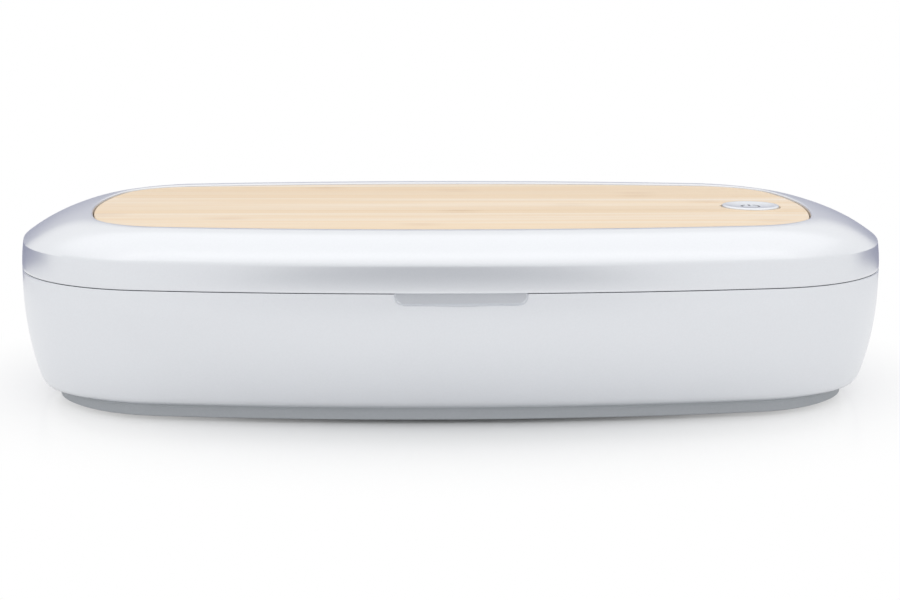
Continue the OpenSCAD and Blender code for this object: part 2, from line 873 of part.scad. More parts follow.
module lid_sensor() {
    rear = -body_depth / 2 + side_fall(sensor_place.x) + housing_wall + 1.3;
    color("darkgreen") translate([sensor_place.x - 6, rear, sensor_z]) cube([12, 3.4, 0.8]);
    color("black") translate([sensor_place.x - 2, rear + 0.3, sensor_z + 0.8]) cube([4, 2.8, 1.2]);
}

module hinge_pins() {
    color("silver") both_ends()
        hinge_round(pin_r, knuckle_x - pin_l / 2, knuckle_x + pin_l / 2);
}

// Lid: upright rim, crown, lip and panel pocket as one skin, with bosses and hinge barrel
module lid_shell() {
    color("silver") difference() {
        union() {
            lid_skin();
            lid_barrel();
            lid_bosses();
        }
        base_knuckle_room();
        translate([-barrel_gap, hinge_y - barrel_r - 1, 0])
            cube([2 * barrel_gap, barrel_r + far, lid_bottom]);
        both_ends()
            hinge_round(pin_r + pin_gap, barrel_gap - 1, knuckle_x + pin_l / 2 + 0.3);
        for (p = liner_screw_places)
            translate([p.x, p.y, 0]) cylinder(r = screw_r * 0.9 + pilot_gap, h = ceiling_z - 1, $fn = 24);
        base_magnet_places()
            cylinder(r = magnet_r + pilot_gap, h = lid_magnet_z + magnet_h, $fn = 32);
        translate([0, 0, pocket_z - coil_recess]) cylinder(r = coil_r + 1.9, h = far, $fn = 128);
        translate([coil_r - 4, 0, 0]) cylinder(r = 1.5, h = far, $fn = 32);
        translate([button_x, button_y, 0])
            cylinder(r = stem_r + stem_gap, h = far, $fn = 48);
        charge_places() cylinder(r = screw_r * 0.7 + pilot_gap, h = ceiling_z, $fn = 24);
        switch_places() cylinder(r = screw_r * 0.7 + pilot_gap, h = ceiling_z, $fn = 24);
    }
}

// Rings from the ceiling down inside, round the lower edge, up the crown and into the pocket
module lid_skin() {
    crown_steps = 8;
    inside = [
        plan_ring(body_plan, 7.6, ceiling_z),
        plan_ring(body_plan, 4.3, ceiling_z - 1.35),
        plan_ring(body_plan, lid_wall, ceiling_z - 3.6),
        plan_ring(body_plan, lid_wall, lid_bottom),
    ];
    rim_steps = 3;
    rim = concat(
        [plan_ring(body_plan, 0.25, lid_bottom)],
        [
            for (i = [0 : rim_steps - 1])
                let (t = i / rim_steps)
                    plan_ring(body_plan, rim_lean * t * t, lerp(lid_bottom + 0.25, rim_z, t))
        ]
    );
    crown = [for (i = [0 : crown_steps]) crown_ring(i / crown_steps)];
    pocket = [
        plan_ring(panel_plan, -panel_gap, lip_z - lip_round * 0.7),
        plan_ring(panel_plan, -panel_gap, pocket_z),
    ];
    ring_solid(concat(inside, rim, crown, pocket));
}

// The rear edge of the lid is rolled about the hinge axis and cut to the outline
module lid_barrel() {
    intersection() {
        hinge_round(barrel_r, -rolled_x, rolled_x);
        plan_plate(body_plan, 0, 0, parting_z + 20);
    }
}

// Room in the lid for the lower housing's knuckles through the whole swing
module base_knuckle_room() {
    x1 = knuckle_x - knuckle_w / 2 - hole_gap;
    w = knuckle_w + 2 * hole_gap;
    both_ends() {
        hinge_round(cove_r, x1, x1 + w);
        translate([x1, hinge_y - cove_r, 0]) cube([w, cove_r + hinge_inset + 2, hinge_z + 0.8]);
    }
}

module lid_bosses() {
    for (p = liner_screw_places)
        translate([p.x, p.y, liner_top]) cylinder(r = lid_boss_r, h = ceiling_z - liner_top + 0.5, $fn = 32);
    base_magnet_places() translate([0, 0, lid_magnet_z])
        cylinder(r = magnet_r + 1, h = ceiling_z - 0.5 - lid_magnet_z, $fn = 32);
    translate([0, 0, ceiling_z - coil_seat_h]) cylinder(r = coil_r + 4, h = coil_seat_h + 0.5, $fn = 128);
    translate([button_x, button_y, stem_z + 0.4])
        cylinder(r = bush_r, h = ceiling_z - stem_z, $fn = 48);
    charge_places() translate([0, 0, charge_z + board_h])
        cylinder(r = 2.2, h = ceiling_z - charge_z - board_h + 0.5, $fn = 32);
    switch_places() translate([0, 0, switch_z + board_h])
        cylinder(r = 1.9, h = ceiling_z - switch_z - board_h + 0.5, $fn = 32);
}

// Wooden panel with eased edges and a hole for the button
module bamboo_panel() {
    color("burlywood") difference() {
        ring_solid([
            plan_ring(panel_plan, 0, pocket_z),
            plan_ring(panel_plan, 0, panel_z - 0.35),
            plan_ring(panel_plan, 0.12, panel_z - 0.1),
            plan_ring(panel_plan, 0.4, panel_z),
        ]);
        translate([button_x, button_y, pocket_z - 1])
            cylinder(r = button_r + button_gap, h = panel_h + 2, $fn = 96);
    }
}

// Bright reflector that closes the lid's underside
module lid_liner() {
    skirt = tub_inset;
    color("gainsboro") difference() {
        union() {
            ring_solid([
                plan_ring(body_plan, skirt + 0.9, liner_under),
                plan_ring(body_plan, skirt + 0.3, liner_z),
                plan_ring(body_plan, lid_wall + 0.4, liner_z),
                plan_ring(body_plan, lid_wall + 0.4, liner_z + liner_h),
                plan_ring(body_plan, skirt - 1, liner_z + liner_h),
                plan_ring(body_plan, skirt - 0.6, liner_top),
            ]);
            strip_pegs() translate([0, 0, liner_top - eps])
                cylinder(r = peg_r, h = lid_strip_z - liner_top + eps, $fn = 32);
            strip_pegs() translate([0, 0, lid_strip_z - eps])
                cylinder(r = peg_pin_r, h = board_h + 0.3, $fn = 24);
        }
        translate([-rolled_x - 1, hinge_y - cove_r - seat_gap, 0])
            cube([2 * rolled_x + 2, 30, far]);
        lamp_places() {
            cylinder(r = window_r - 0.6, h = far, $fn = 48);
            cylinder(r = window_r + 0.1, h = liner_under + 0.8, $fn = 48);
        }
        for (p = liner_screw_places) translate([p.x, p.y, liner_under]) {
            translate([0, 0, -eps]) cylinder(r1 = 2.2, r2 = screw_r * 0.9 + 0.1, h = 1.1, $fn = 32);
            cylinder(r = screw_r * 0.9 + 0.1, h = 5, $fn = 32);
        }
    }
}

module liner_windows() {
    color("lightcyan") lamp_places() translate([0, 0, liner_under + 0.05]) window_disc();
}

module lid_lamp_board() {
    color("white") translate([0, 0, lid_strip_z]) lamp_strip();
}

module lid_lamps() {
    color("gold") lamp_places() translate([0, 0, lid_strip_z]) mirror([0, 0, 1]) lamp_chip(lid_lamp_h);
}

// Soft ring on the reflector's flange, with a rounded lower lip
seal_drop = 0.3;
module light_seal() {
    in1 = tub_inset - 0.8 - seal_w;
    in2 = tub_inset - 0.8;
    low = flange_top + seal_drop;
    profile = [
        [in2, low + 0.5], [lerp(in1, in2, 0.75), low], [lerp(in1, in2, 0.25), low],
        [in1, low + 0.5], [in1, liner_z], [in2, liner_z],
    ];
    color("white") ring_solid([for (p = profile) plan_ring(body_plan, p[0], p[1])], loop = true);
}

module liner_screws() {
    color("silver") for (p = liner_screw_places)
        translate([p.x, p.y, liner_under]) difference() {
            union() {
                cylinder(r1 = 2.1, r2 = screw_r * 0.9, h = 1.05, $fn = 32);
                cylinder(r = screw_r * 0.9, h = 5.2, $fn = 24);
            }
            for (turn = [0, 90])
                rotate([0, 0, turn]) translate([-1.2, -0.25, -eps]) cube([2.4, 0.5, 0.6]);
        }
}

module lid_magnets() {
    color("silver") base_magnet_places()
        translate([0, 0, lid_magnet_z]) cylinder(r = magnet_r, h = magnet_h, $fn = 48);
}

module charging_coil() {
    color("chocolate") translate([0, 0, pocket_z - coil_h - 0.05]) difference() {
        cylinder(r = coil_r, h = coil_h, $fn = 128);
        translate([0, 0, -1]) cylinder(r = 9, h = coil_h + 2, $fn = 96);
    }
}

module ferrite_disc() {
    color("black") translate([0, 0, pocket_z - coil_recess])
        cylinder(r = coil_r + 1.5, h = ferrite_h, $fn = 128);
}

module charge_places() {
    for (sx = [-1, 1], sy = [-1, 1])
        translate([sx * (charge_l / 2 - 3), sy * (charge_w / 2 - 3), 0]) children();
}

module charge_board() {
    color("darkgreen") difference() {
        translate([-charge_l / 2, -charge_w / 2, charge_z]) cube([charge_l, charge_w, board_h]);
        charge_places() translate([0, 0, charge_z - 1]) cylinder(r = screw_r * 0.7 + hole_gap, h = 4, $fn = 24);
        strip_pegs() translate([0, 0, charge_z - 1]) cylinder(r = peg_pin_r + 0.6, h = 4, $fn = 24);
    }
}

module charge_parts() {
    color("dimgray") translate([0, 0, charge_z + board_h]) {
        for (block = charge_blocks) translate(block[0]) cube(block[1]);
        for (i = [0 : 4]) translate([8 + i * 2.6, -12]) cube([1.6, 3.2, chip_h]);
    }
}

module charge_screws() {
    color("gray") charge_places()
        translate([0, 0, charge_z]) up_screw(screw_r * 0.7, 3, 1.5, 0.8);
}

module switch_places() {
    for (sx = [-1, 1])
        translate([button_x + sx * switch_screw_x, button_y, 0]) children();
}

module switch_board() {
    color("darkgreen") difference() {
        translate([button_x - switch_board_l / 2, button_y - switch_board_w / 2, switch_z])
            cube([switch_board_l, switch_board_w, board_h]);
        switch_places() translate([0, 0, switch_z - 1]) cylinder(r = screw_r * 0.7 + hole_gap, h = 4, $fn = 24);
    }
}

module switch_body() {
    z = switch_z + board_h;
    color("black") difference() {
        translate([button_x - switch_w / 2, button_y - switch_w / 2, z])
            cube([switch_w, switch_w, switch_top - z]);
        translate([button_x, button_y, z + 0.2]) cylinder(r = plunger_r + pilot_gap, h = far, $fn = 32);
    }
}

module switch_screws() {
    color("gray") switch_places()
        translate([0, 0, switch_z]) up_screw(screw_r * 0.7, 3.4, 1.4, 0.7);
}

// Button: a dished cap with a round edge, on a stem
module power_button() {
    edge = 0.4;
    dish_r = button_r - 1;
    ball = (dish_r * dish_r + dish * dish) / (2 * dish);
    color("gainsboro") translate([button_x, button_y, 0]) difference() {
        union() {
            rotate_extrude($fn = 96) {
                translate([0, cap_z]) square([button_r, cap_h - edge]);
                translate([0, cap_z]) square([button_r - edge, cap_h]);
                translate([button_r - edge, cap_top - edge]) circle(r = edge, $fn = 32);
            }
            translate([0, 0, stem_z]) cylinder(r = stem_r, h = cap_z - stem_z + eps, $fn = 48);
        }
        translate([0, 0, cap_top - dish + ball]) sphere(r = ball, $fn = 200);
    }
}

module switch_plunger() {
    inside = press + 0.1;
    color("white") translate([button_x, button_y, switch_top - inside])
        cylinder(r = plunger_r, h = stem_z - switch_top + inside, $fn = 32);
}

base_shell();
bottom_plate();
foot_pads();
bottom_screws();
chamber_tub();
tub_windows();
base_lamp_board();
base_lamps();
main_board();
board_parts();
board_screws();
usb_socket();
base_magnets();
lid_sensor();
hinge_pins();
lid_shell();
bamboo_panel();
lid_liner();
liner_windows();
lid_lamp_board();
lid_lamps();
light_seal();
liner_screws();
lid_magnets();
charging_coil();
ferrite_disc();
charge_board();
charge_parts();
charge_screws();
switch_board();
switch_body();
switch_screws();
power_button();
switch_plunger();
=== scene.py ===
"""Looks of the phone sanitizer box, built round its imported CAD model."""

import json
import math

import bmesh
import bpy
import numpy as np
from mathutils import Matrix, Vector
from mathutils.geometry import tessellate_polygon

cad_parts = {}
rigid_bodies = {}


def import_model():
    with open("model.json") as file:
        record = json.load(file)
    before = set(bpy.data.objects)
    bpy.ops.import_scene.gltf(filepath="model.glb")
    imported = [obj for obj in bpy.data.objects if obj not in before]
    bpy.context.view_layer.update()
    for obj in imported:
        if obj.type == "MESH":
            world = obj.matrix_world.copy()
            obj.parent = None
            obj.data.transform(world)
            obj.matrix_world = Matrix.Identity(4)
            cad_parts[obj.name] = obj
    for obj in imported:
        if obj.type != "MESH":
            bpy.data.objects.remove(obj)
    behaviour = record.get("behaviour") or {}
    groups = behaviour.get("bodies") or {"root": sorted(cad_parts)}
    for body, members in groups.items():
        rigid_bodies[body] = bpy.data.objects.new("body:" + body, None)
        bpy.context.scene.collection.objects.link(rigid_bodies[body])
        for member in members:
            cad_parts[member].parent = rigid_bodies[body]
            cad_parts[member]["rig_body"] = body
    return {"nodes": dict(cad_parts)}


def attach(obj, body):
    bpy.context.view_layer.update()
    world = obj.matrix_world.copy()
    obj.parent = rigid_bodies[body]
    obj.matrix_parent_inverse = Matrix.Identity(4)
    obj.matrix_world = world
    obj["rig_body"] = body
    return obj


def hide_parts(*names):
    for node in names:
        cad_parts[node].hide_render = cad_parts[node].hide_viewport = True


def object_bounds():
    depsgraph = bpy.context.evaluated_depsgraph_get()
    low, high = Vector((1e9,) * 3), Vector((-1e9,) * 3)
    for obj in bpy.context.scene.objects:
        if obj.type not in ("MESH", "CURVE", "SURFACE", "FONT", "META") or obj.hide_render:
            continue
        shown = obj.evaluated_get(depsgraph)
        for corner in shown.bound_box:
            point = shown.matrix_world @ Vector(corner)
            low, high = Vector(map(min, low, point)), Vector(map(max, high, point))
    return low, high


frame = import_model()
cad_box = [[float(c) for c in corner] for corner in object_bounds()]

MM = 0.001
ROUND = math.tau

# Sizes of the box in millimetres, as in the part's source. A plan is half a length, half a
# depth, and the radii of the sides, the ends and the corners. The parting gap alone is drawn
# about half as wide, because its two paint edges leave only a hairline in sight.
BODY_PLAN = (110.0, 57.0, 505.0, 88.0, 38.5)
PANEL_PLAN = (91.6, 44.0, 508.0, 95.0, 20.5)
PLINTH_Z = 1.0
HOUSING_Z = 3.6
PARTING_Z = 33.6
BASE_TOP = 33.52
TOP_EASE = 0.2
LID_BOTTOM = 33.68
RIM_Z = 40.2
LIP_Z = 46.9
PANEL_Z = 46.55
POCKET_Z = 44.25
CEILING_Z = 42.65
WALL_R = 46.0
HEEL_R = 6.0
CURVE_Z = 30.0
END_SHARE = 0.49
HOUSING_WALL = 2.4
LID_WALL = 2.2
LEDGE_END = 17.3
HEEL_Z = HOUSING_Z + HEEL_R
HEEL_INSET = WALL_R - math.sqrt((WALL_R - HEEL_R) ** 2 - (CURVE_Z - HEEL_Z) ** 2)
TURN_ANGLE = math.asin((CURVE_Z - HEEL_Z) / (WALL_R - HEEL_R))
PLINTH_INSET = 9.8
PLINTH_END = 1.6
PANEL_GAP = 0.35
LIP_ROUND = 0.35
RIM_LEAN = 0.5
# The crown's control point at the sides and at the ends: its share of the way in, and its
# share of the rise
CROWN_REACH = (0.25, 0.48)
CROWN_CONTROL = (1.13, 0.93)

HINGE_Y = 53.6
HINGE_Z = PARTING_Z
BARREL_R = 3.4
COVE_R = 3.75
COVE_X = 58.95
ROLLED_X = 58.6
REAR_TOP = HINGE_Z - BARREL_R - 0.7
KNUCKLE_X = 24.0
KNUCKLE_W = 10.0
BARREL_GAP = 9.6
KNUCKLE_GAP = 0.3
TUB_REAR = HINGE_Y - COVE_R - 0.2

BUTTON = (78.0, -3.0)
BUTTON_R = 7.4
BUTTON_GAP = 0.35
BUTTON_TOP = PANEL_Z + 0.4
STEM_R = 2.0
STEM_Z = 41.2
TUB_INSET = 10.0
# Lamp windows lie in wide wells over narrower holes
LAMP_XS = (-60.0, -20.0, 20.0, 60.0)
WELL_R = 4.5
WELL_H = 0.8
LAMP_HOLE_R = 3.8

# Degrees up to which neighbouring faces are shaded as one, in drawn pieces and CAD copies
SHADE_ANGLE = 32.0
CAD_SHADE_ANGLE = 30.0
# Distances in metres within which points are merged, in drawn pieces and CAD copies
SEAM = 2e-7
CAD_SEAM = 1e-6


# Outline


def plan_arcs(plan):
    """The eight arcs of a bowed outline, counter-clockwise from the right-hand end.
    The corner circle touches the side circle and the end circle from inside, so its
    centre is where two circles about their centres meet."""
    length, depth, side, end, corner = plan
    c1 = np.array([0.0, depth - side])
    c2 = np.array([length - end, 0.0])
    across = c2 - c1
    d = np.hypot(*across)
    along = across / d
    r1, r2 = side - corner, end - corner
    q = (r1 * r1 - r2 * r2 + d * d) / (2 * d)
    c3 = c1 + q * along + math.sqrt(r1 * r1 - q * q) * np.array([along[1], -along[0]])
    e = math.atan2(c3[1], c3[0] - c2[0])
    s = math.atan2(c3[0], c3[1] - c1[1])
    k = math.pi / 2 - s - e
    flip = np.array([-1, 1])
    half = math.pi / 2
    return [
        (c2, end, -e, 2 * e),
        (c3, corner, e, k),
        (c1, side, half - s, 2 * s),
        (c3 * flip, corner, half + s, k),
        (-c2, end, 2 * half - e, 2 * e),
        (-c3, corner, 2 * half + e, k),
        (-c1, side, 3 * half - s, 2 * s),
        (-c3 * flip, corner, 3 * half + s, k),
    ]


def stations(front=(), rear=()):
    """Places round the outline as arc number and share of that arc. Extra places on the
    front and rear sides are given by their distance from the middle along X."""
    arcs = plan_arcs(BODY_PLAN)
    ends, corners, sides = 20, 36, 60
    rear_arc, front_arc = 2, 6
    crowded = 0.15
    found = []
    for number, count in enumerate((ends, corners, sides, corners) * 2):
        shares = np.arange(count) / count
        extra = {rear_arc: rear, front_arc: front}.get(number, ())
        if len(extra):
            radius, first, span = arcs[number][1:]
            lean = np.arcsin(np.asarray(extra) / radius)
            angle = math.pi / 2 - lean if number == rear_arc else 1.5 * math.pi + lean
            extra = (angle - first) / span
            near = np.abs(shares[:, None] - extra[None, :]).min(1) < crowded / count
            shares = np.concatenate([shares[~near | (shares == 0)], extra])
        found.append(np.column_stack([np.full(len(shares), number), np.sort(shares)]))
    return np.concatenate(found)


def steps_at(*distances):
    """Distances close on either side of those given, and of their mirror images, for places
    where a shape steps."""
    sides = [(side * x, off) for x in distances for side in (-1, 1) for off in (-0.01, 0.01)]
    return np.array([x + off for x, off in sides])


def outline(plan, places, inset=0.0):
    """Points of a plan at those places: out from each arc's centre by its radius less
    the inset."""
    arcs = plan_arcs(plan)
    number = places[:, 0].astype(int)
    centre = np.array([arcs[n][0] for n in number])
    radius, first, span = (np.array([arcs[n][k] for n in number]) for k in (1, 2, 3))
    angle = first + span * places[:, 1]
    ray = np.column_stack([np.cos(angle), np.sin(angle)])
    return centre + (radius - inset)[:, None] * ray


def side_fall(x):
    """How far the long side has curved back at a distance from the middle."""
    side_r = BODY_PLAN[2]
    return side_r - np.sqrt(side_r**2 - np.square(x))


def six_places(x, side_inset, end_inset):
    """Places of six screws: two on each long side and one at each end."""
    y = BODY_PLAN[1] - side_fall(x) - side_inset
    end = BODY_PLAN[0] - end_inset
    return [(sx * x, sy * y) for sx in (-1, 1) for sy in (-1, 1)] + [(-end, 0.0), (end, 0.0)]


def sweep(plan, places, profile):
    """A profile carried round a plan: a grid with one row for each place and one column for
    each point of the profile, which gives its inset, its height and, where it has a third
    value, what the inset is less by where the outline faces the ends (the fourth power of
    the X of its normal)."""
    profile = np.asarray(profile, float)
    if profile.shape[1] == 2:
        profile = np.column_stack([profile, np.zeros(len(profile))])
    edge = outline(plan, places)
    inward = outline(plan, places, 1.0) - edge
    inset = profile[None, :, 0] - inward[:, None, 0] ** 4 * profile[None, :, 2]
    grid = np.empty((len(places), len(profile), 3))
    grid[..., :2] = edge[:, None] + inset[..., None] * inward[:, None]
    grid[..., 2] = profile[None, :, 1]
    return grid


# Meshes


def grid_faces(rows, columns, wrap_rows=True, wrap_columns=False):
    """Quads of a grid of points, whose rows run counter-clockwise and whose columns run up
    the outside."""
    i = np.arange(rows if wrap_rows else rows - 1)[:, None]
    j = np.arange(columns if wrap_columns else columns - 1)[None, :]
    ahead, above = (i + 1) % rows, (j + 1) % columns
    quads = np.stack(
        [i * columns + j, ahead * columns + j, ahead * columns + above, i * columns + above], -1
    )
    return quads.reshape(-1, 4).tolist()


class Shell:
    """Points and faces gathered from grids, flat plates and extruded bars."""

    def __init__(self):
        self.points, self.faces, self.count = [], [], 0

    def add(self, points, faces):
        points = np.asarray(points, float).reshape(-1, 3)
        self.faces += [[v + self.count for v in face] for face in faces]
        self.points.append(points)
        self.count += len(points)
        return self

    def grid(self, grid, wrap_columns=False):
        return self.add(grid, grid_faces(*grid.shape[:2], wrap_columns=wrap_columns))

    def plate(self, outer, holes, z, up=True):
        """A flat face at height z inside one loop and outside the others."""
        loops = [np.asarray(loop, float)[:, :2] for loop in [outer, *holes]]
        flat = np.concatenate(loops)
        triangles = tessellate_polygon([[Vector((x, y, 0)) for x, y in loop] for loop in loops])
        a, b, c = (flat[[t[k] for t in triangles]] for k in range(3))
        area = (b - a)[:, 0] * (c - a)[:, 1] - (b - a)[:, 1] * (c - a)[:, 0]
        faces = [
            t if (s > 0) == up else (t[0], t[2], t[1]) for t, s in zip(triangles, area) if s != 0
        ]
        return self.add(np.column_stack([flat, np.full(len(flat), z)]), faces)

    def turned(self, profile, centre, steps):
        """A profile of radii and heights, running up the outside, turned about an upright
        axis. A radius of nought closes the end."""
        profile = np.asarray(profile, float)
        angle = ROUND * np.arange(steps) / steps
        r, z = np.maximum(profile[:, 0], 1e-4), profile[:, 1]
        grid = np.empty((steps, len(r), 3))
        grid[..., 0] = centre[0] + np.cos(angle)[:, None] * r
        grid[..., 1] = centre[1] + np.sin(angle)[:, None] * r
        grid[..., 2] = z
        return self.grid(grid)

    def bar(self, section, x1, x2):
        """A closed section in Y and Z, counter-clockwise seen from +X, carried along X from
        x1 to x2, with its ends eased by drawing the section in along its normals."""
        section = np.asarray(section, float)
        edge = np.roll(section, -1, 0) - np.roll(section, 1, 0)
        normal = np.column_stack([edge[:, 1], -edge[:, 0]])
        normal /= np.maximum(np.hypot(*normal.T), 1e-9)[:, None]
        ease = 0.25
        small = section - ease * normal
        rings = [(x1, small), (x1 + ease, section), (x2 - ease, section), (x2, small)]
        grid = np.array([np.column_stack([np.full(len(ring), x), ring]) for x, ring in rings])
        return self.rod(grid)

    def rod(self, grid):
        """Closed sections in Y and Z, one for each row, joined along X and closed at both
        ends."""
        rows, n = grid.shape[:2]
        faces = [face[::-1] for face in grid_faces(rows, n, wrap_rows=False, wrap_columns=True)]
        last = (rows - 1) * n
        faces += [list(range(n))[::-1], list(range(last, last + n))]
        return self.add(grid, faces)

    def piece(self, name, body, slot, material, replaces=(), smooth=SHADE_ANGLE):
        """Makes the object in metres, merges seams, and shades it smooth up to an angle."""
        mesh = bpy.data.meshes.new(name)
        mesh.from_pydata((np.concatenate(self.points) * MM).tolist(), [], self.faces)
        work = bmesh.new()
        work.from_mesh(mesh)
        bmesh.ops.remove_doubles(work, verts=work.verts, dist=SEAM)
        bmesh.ops.dissolve_degenerate(work, edges=work.edges, dist=SEAM / 2)
        work.to_mesh(mesh)
        work.free()
        return finish_piece(name, mesh, body, material, replaces, smooth)


def placed(name, data):
    """A new object in the scene."""
    thing = bpy.data.objects.new(name, data)
    bpy.context.scene.collection.objects.link(thing)
    return thing


def finish_piece(name, mesh, body, material, replaces, smooth):
    """Shades a mesh, gives it its material and hangs it on its body."""
    mesh.polygons.foreach_set("use_smooth", np.ones(len(mesh.polygons), bool))
    mesh.set_sharp_from_angle(angle=math.radians(smooth))
    mesh.materials.clear()
    mesh.materials.append(material)
    piece = placed(name, mesh)
    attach(piece, body)
    if replaces:
        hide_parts(*replaces)
    return piece


def smooth_copy(node, name, material):
    """A merged copy of a CAD node with its round faces shaded smooth, in its place."""
    cad = frame["nodes"][node]
    mesh = cad.data.copy()
    work = bmesh.new()
    work.from_mesh(mesh)
    bmesh.ops.remove_doubles(work, verts=work.verts, dist=CAD_SEAM)
    work.to_mesh(mesh)
    work.free()
    if "custom_normal" in mesh.attributes:
        mesh.attributes.remove(mesh.attributes["custom_normal"])
    return finish_piece(name, mesh, cad["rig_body"], material, [node], CAD_SHADE_ANGLE)


def circle(centre, radius, steps=48):
    """Points of a circle, counter-clockwise."""
    angle = ROUND * np.arange(steps) / steps
    return np.column_stack([centre[0] + radius * np.cos(angle), centre[1] + radius * np.sin(angle)])


def arc(centre, radius, first, last, steps):
    """Points of an arc between two angles in degrees."""
    angle = np.radians(np.linspace(first, last, steps))
    return np.column_stack([centre[0] + radius * np.cos(angle), centre[1] + radius * np.sin(angle)])


def smoothstep(low, high, value):
    """Nought below low, one above high, and a smooth rise between."""
    t = np.clip((value - low) / (high - low), 0, 1)
    return t * t * (3 - 2 * t)


# Materials


def linear(code):
    """Linear colour of an sRGB hex code."""
    values = [int(code[k : k + 2], 16) / 255 for k in (1, 3, 5)]
    return [v / 12.92 if v <= 0.04045 else ((v + 0.055) / 1.055) ** 2.4 for v in values] + [1.0]


def join(tree, value, socket):
    """Fills a socket with a value, or links it to a socket or to a node's first live output."""
    if isinstance(value, bpy.types.Node):
        value = next(out for out in value.outputs if out.enabled)
    if isinstance(value, bpy.types.NodeSocket):
        tree.links.new(value, socket)
    else:
        socket.default_value = value


def add(tree, kind, values=(), **settings):
    """Adds a shader node with its settings, and fills its inputs, which are given by name, or
    in the order of those that are live."""
    node = tree.nodes.new("ShaderNode" + kind)
    for key, value in settings.items():
        setattr(node, key, value)
    live = [socket for socket in node.inputs if socket.enabled]
    if isinstance(values, dict):
        live, values = [node.inputs[name] for name in values], values.values()
    for socket, value in zip(live, values):
        join(tree, value, socket)
    return node


def calc(tree, operation, *values):
    """A sum or other simple operation on values."""
    return add(tree, "Math", values, operation=operation)


def ramp(tree, *values):
    """A value carried smoothly from one range, given by two numbers, onto another, which is
    nought to one where it isn't given."""
    return add(tree, "MapRange", values, interpolation_type="SMOOTHSTEP")


def mix(tree, share, first, second):
    """A mixture of two colours, given as hex codes or nodes."""
    colours = [linear(c) if isinstance(c, str) else c for c in (first, second)]
    return add(tree, "Mix", (share, *colours), data_type="RGBA")


def bump(tree, height, distance, strength):
    """A normal tilted by a height, whose unit is the distance in metres."""
    return add(tree, "Bump", {"Height": height, "Distance": distance, "Strength": strength})


def dress(tree, shader, **values):
    """Fills the shader's inputs, named with underscores for spaces."""
    for name, value in values.items():
        join(tree, value, shader.inputs[name.replace("_", " ")])


def surface(name, **values):
    """A material with one Principled shader set to plain values, and its node tree."""
    material = bpy.data.materials.new(name)
    material.use_nodes = True
    tree = material.node_tree
    shader = tree.nodes["Principled BSDF"]
    dress(tree, shader, **values)
    return material, tree, shader


def object_point(tree, scale=(1, 1, 1), location=(0, 0, 0)):
    """Object coordinates in metres, stretched and moved."""
    place = add(tree, "TexCoord").outputs["Object"]
    return add(tree, "Mapping", {"Vector": place, "Scale": scale, "Location": location})


def length(tree, x, y):
    """Distance from the origin in a plane."""
    square = calc(tree, "MULTIPLY", y, y)
    squares = calc(tree, "MULTIPLY_ADD", x, x, square)
    return calc(tree, "SQRT", squares)


def silver_lacquer():
    """Satin metallic lacquer sprayed on moulded ABS: a soft silver-grey whose fine flake is
    barely seen, and broad reflections without a sharp edge."""
    material, tree, shader = surface("silver_lacquer_on_abs", Metallic=0.6, Specular_IOR_Level=0.5)
    # Flakes are about 0.05 mm. They are drawn at 0.5 mm so that a trace of grain shows.
    flake = add(tree, "TexNoise", (object_point(tree), 2000.0, 1.0))
    cloud = add(tree, "TexNoise", (object_point(tree), 25.0, 2.0))
    share = calc(tree, "MULTIPLY", flake, 0.65)
    share = calc(tree, "MULTIPLY_ADD", cloud, 0.35, share)
    colour = mix(tree, share, "#E2E4E8", "#E8EAEE")
    sheen = calc(tree, "MULTIPLY_ADD", cloud, 0.03, 0.265)
    relief = bump(tree, cloud, 0.00003, 0.3)
    dress(tree, shader, Base_Color=colour, Roughness=sheen, Normal=relief)
    return material


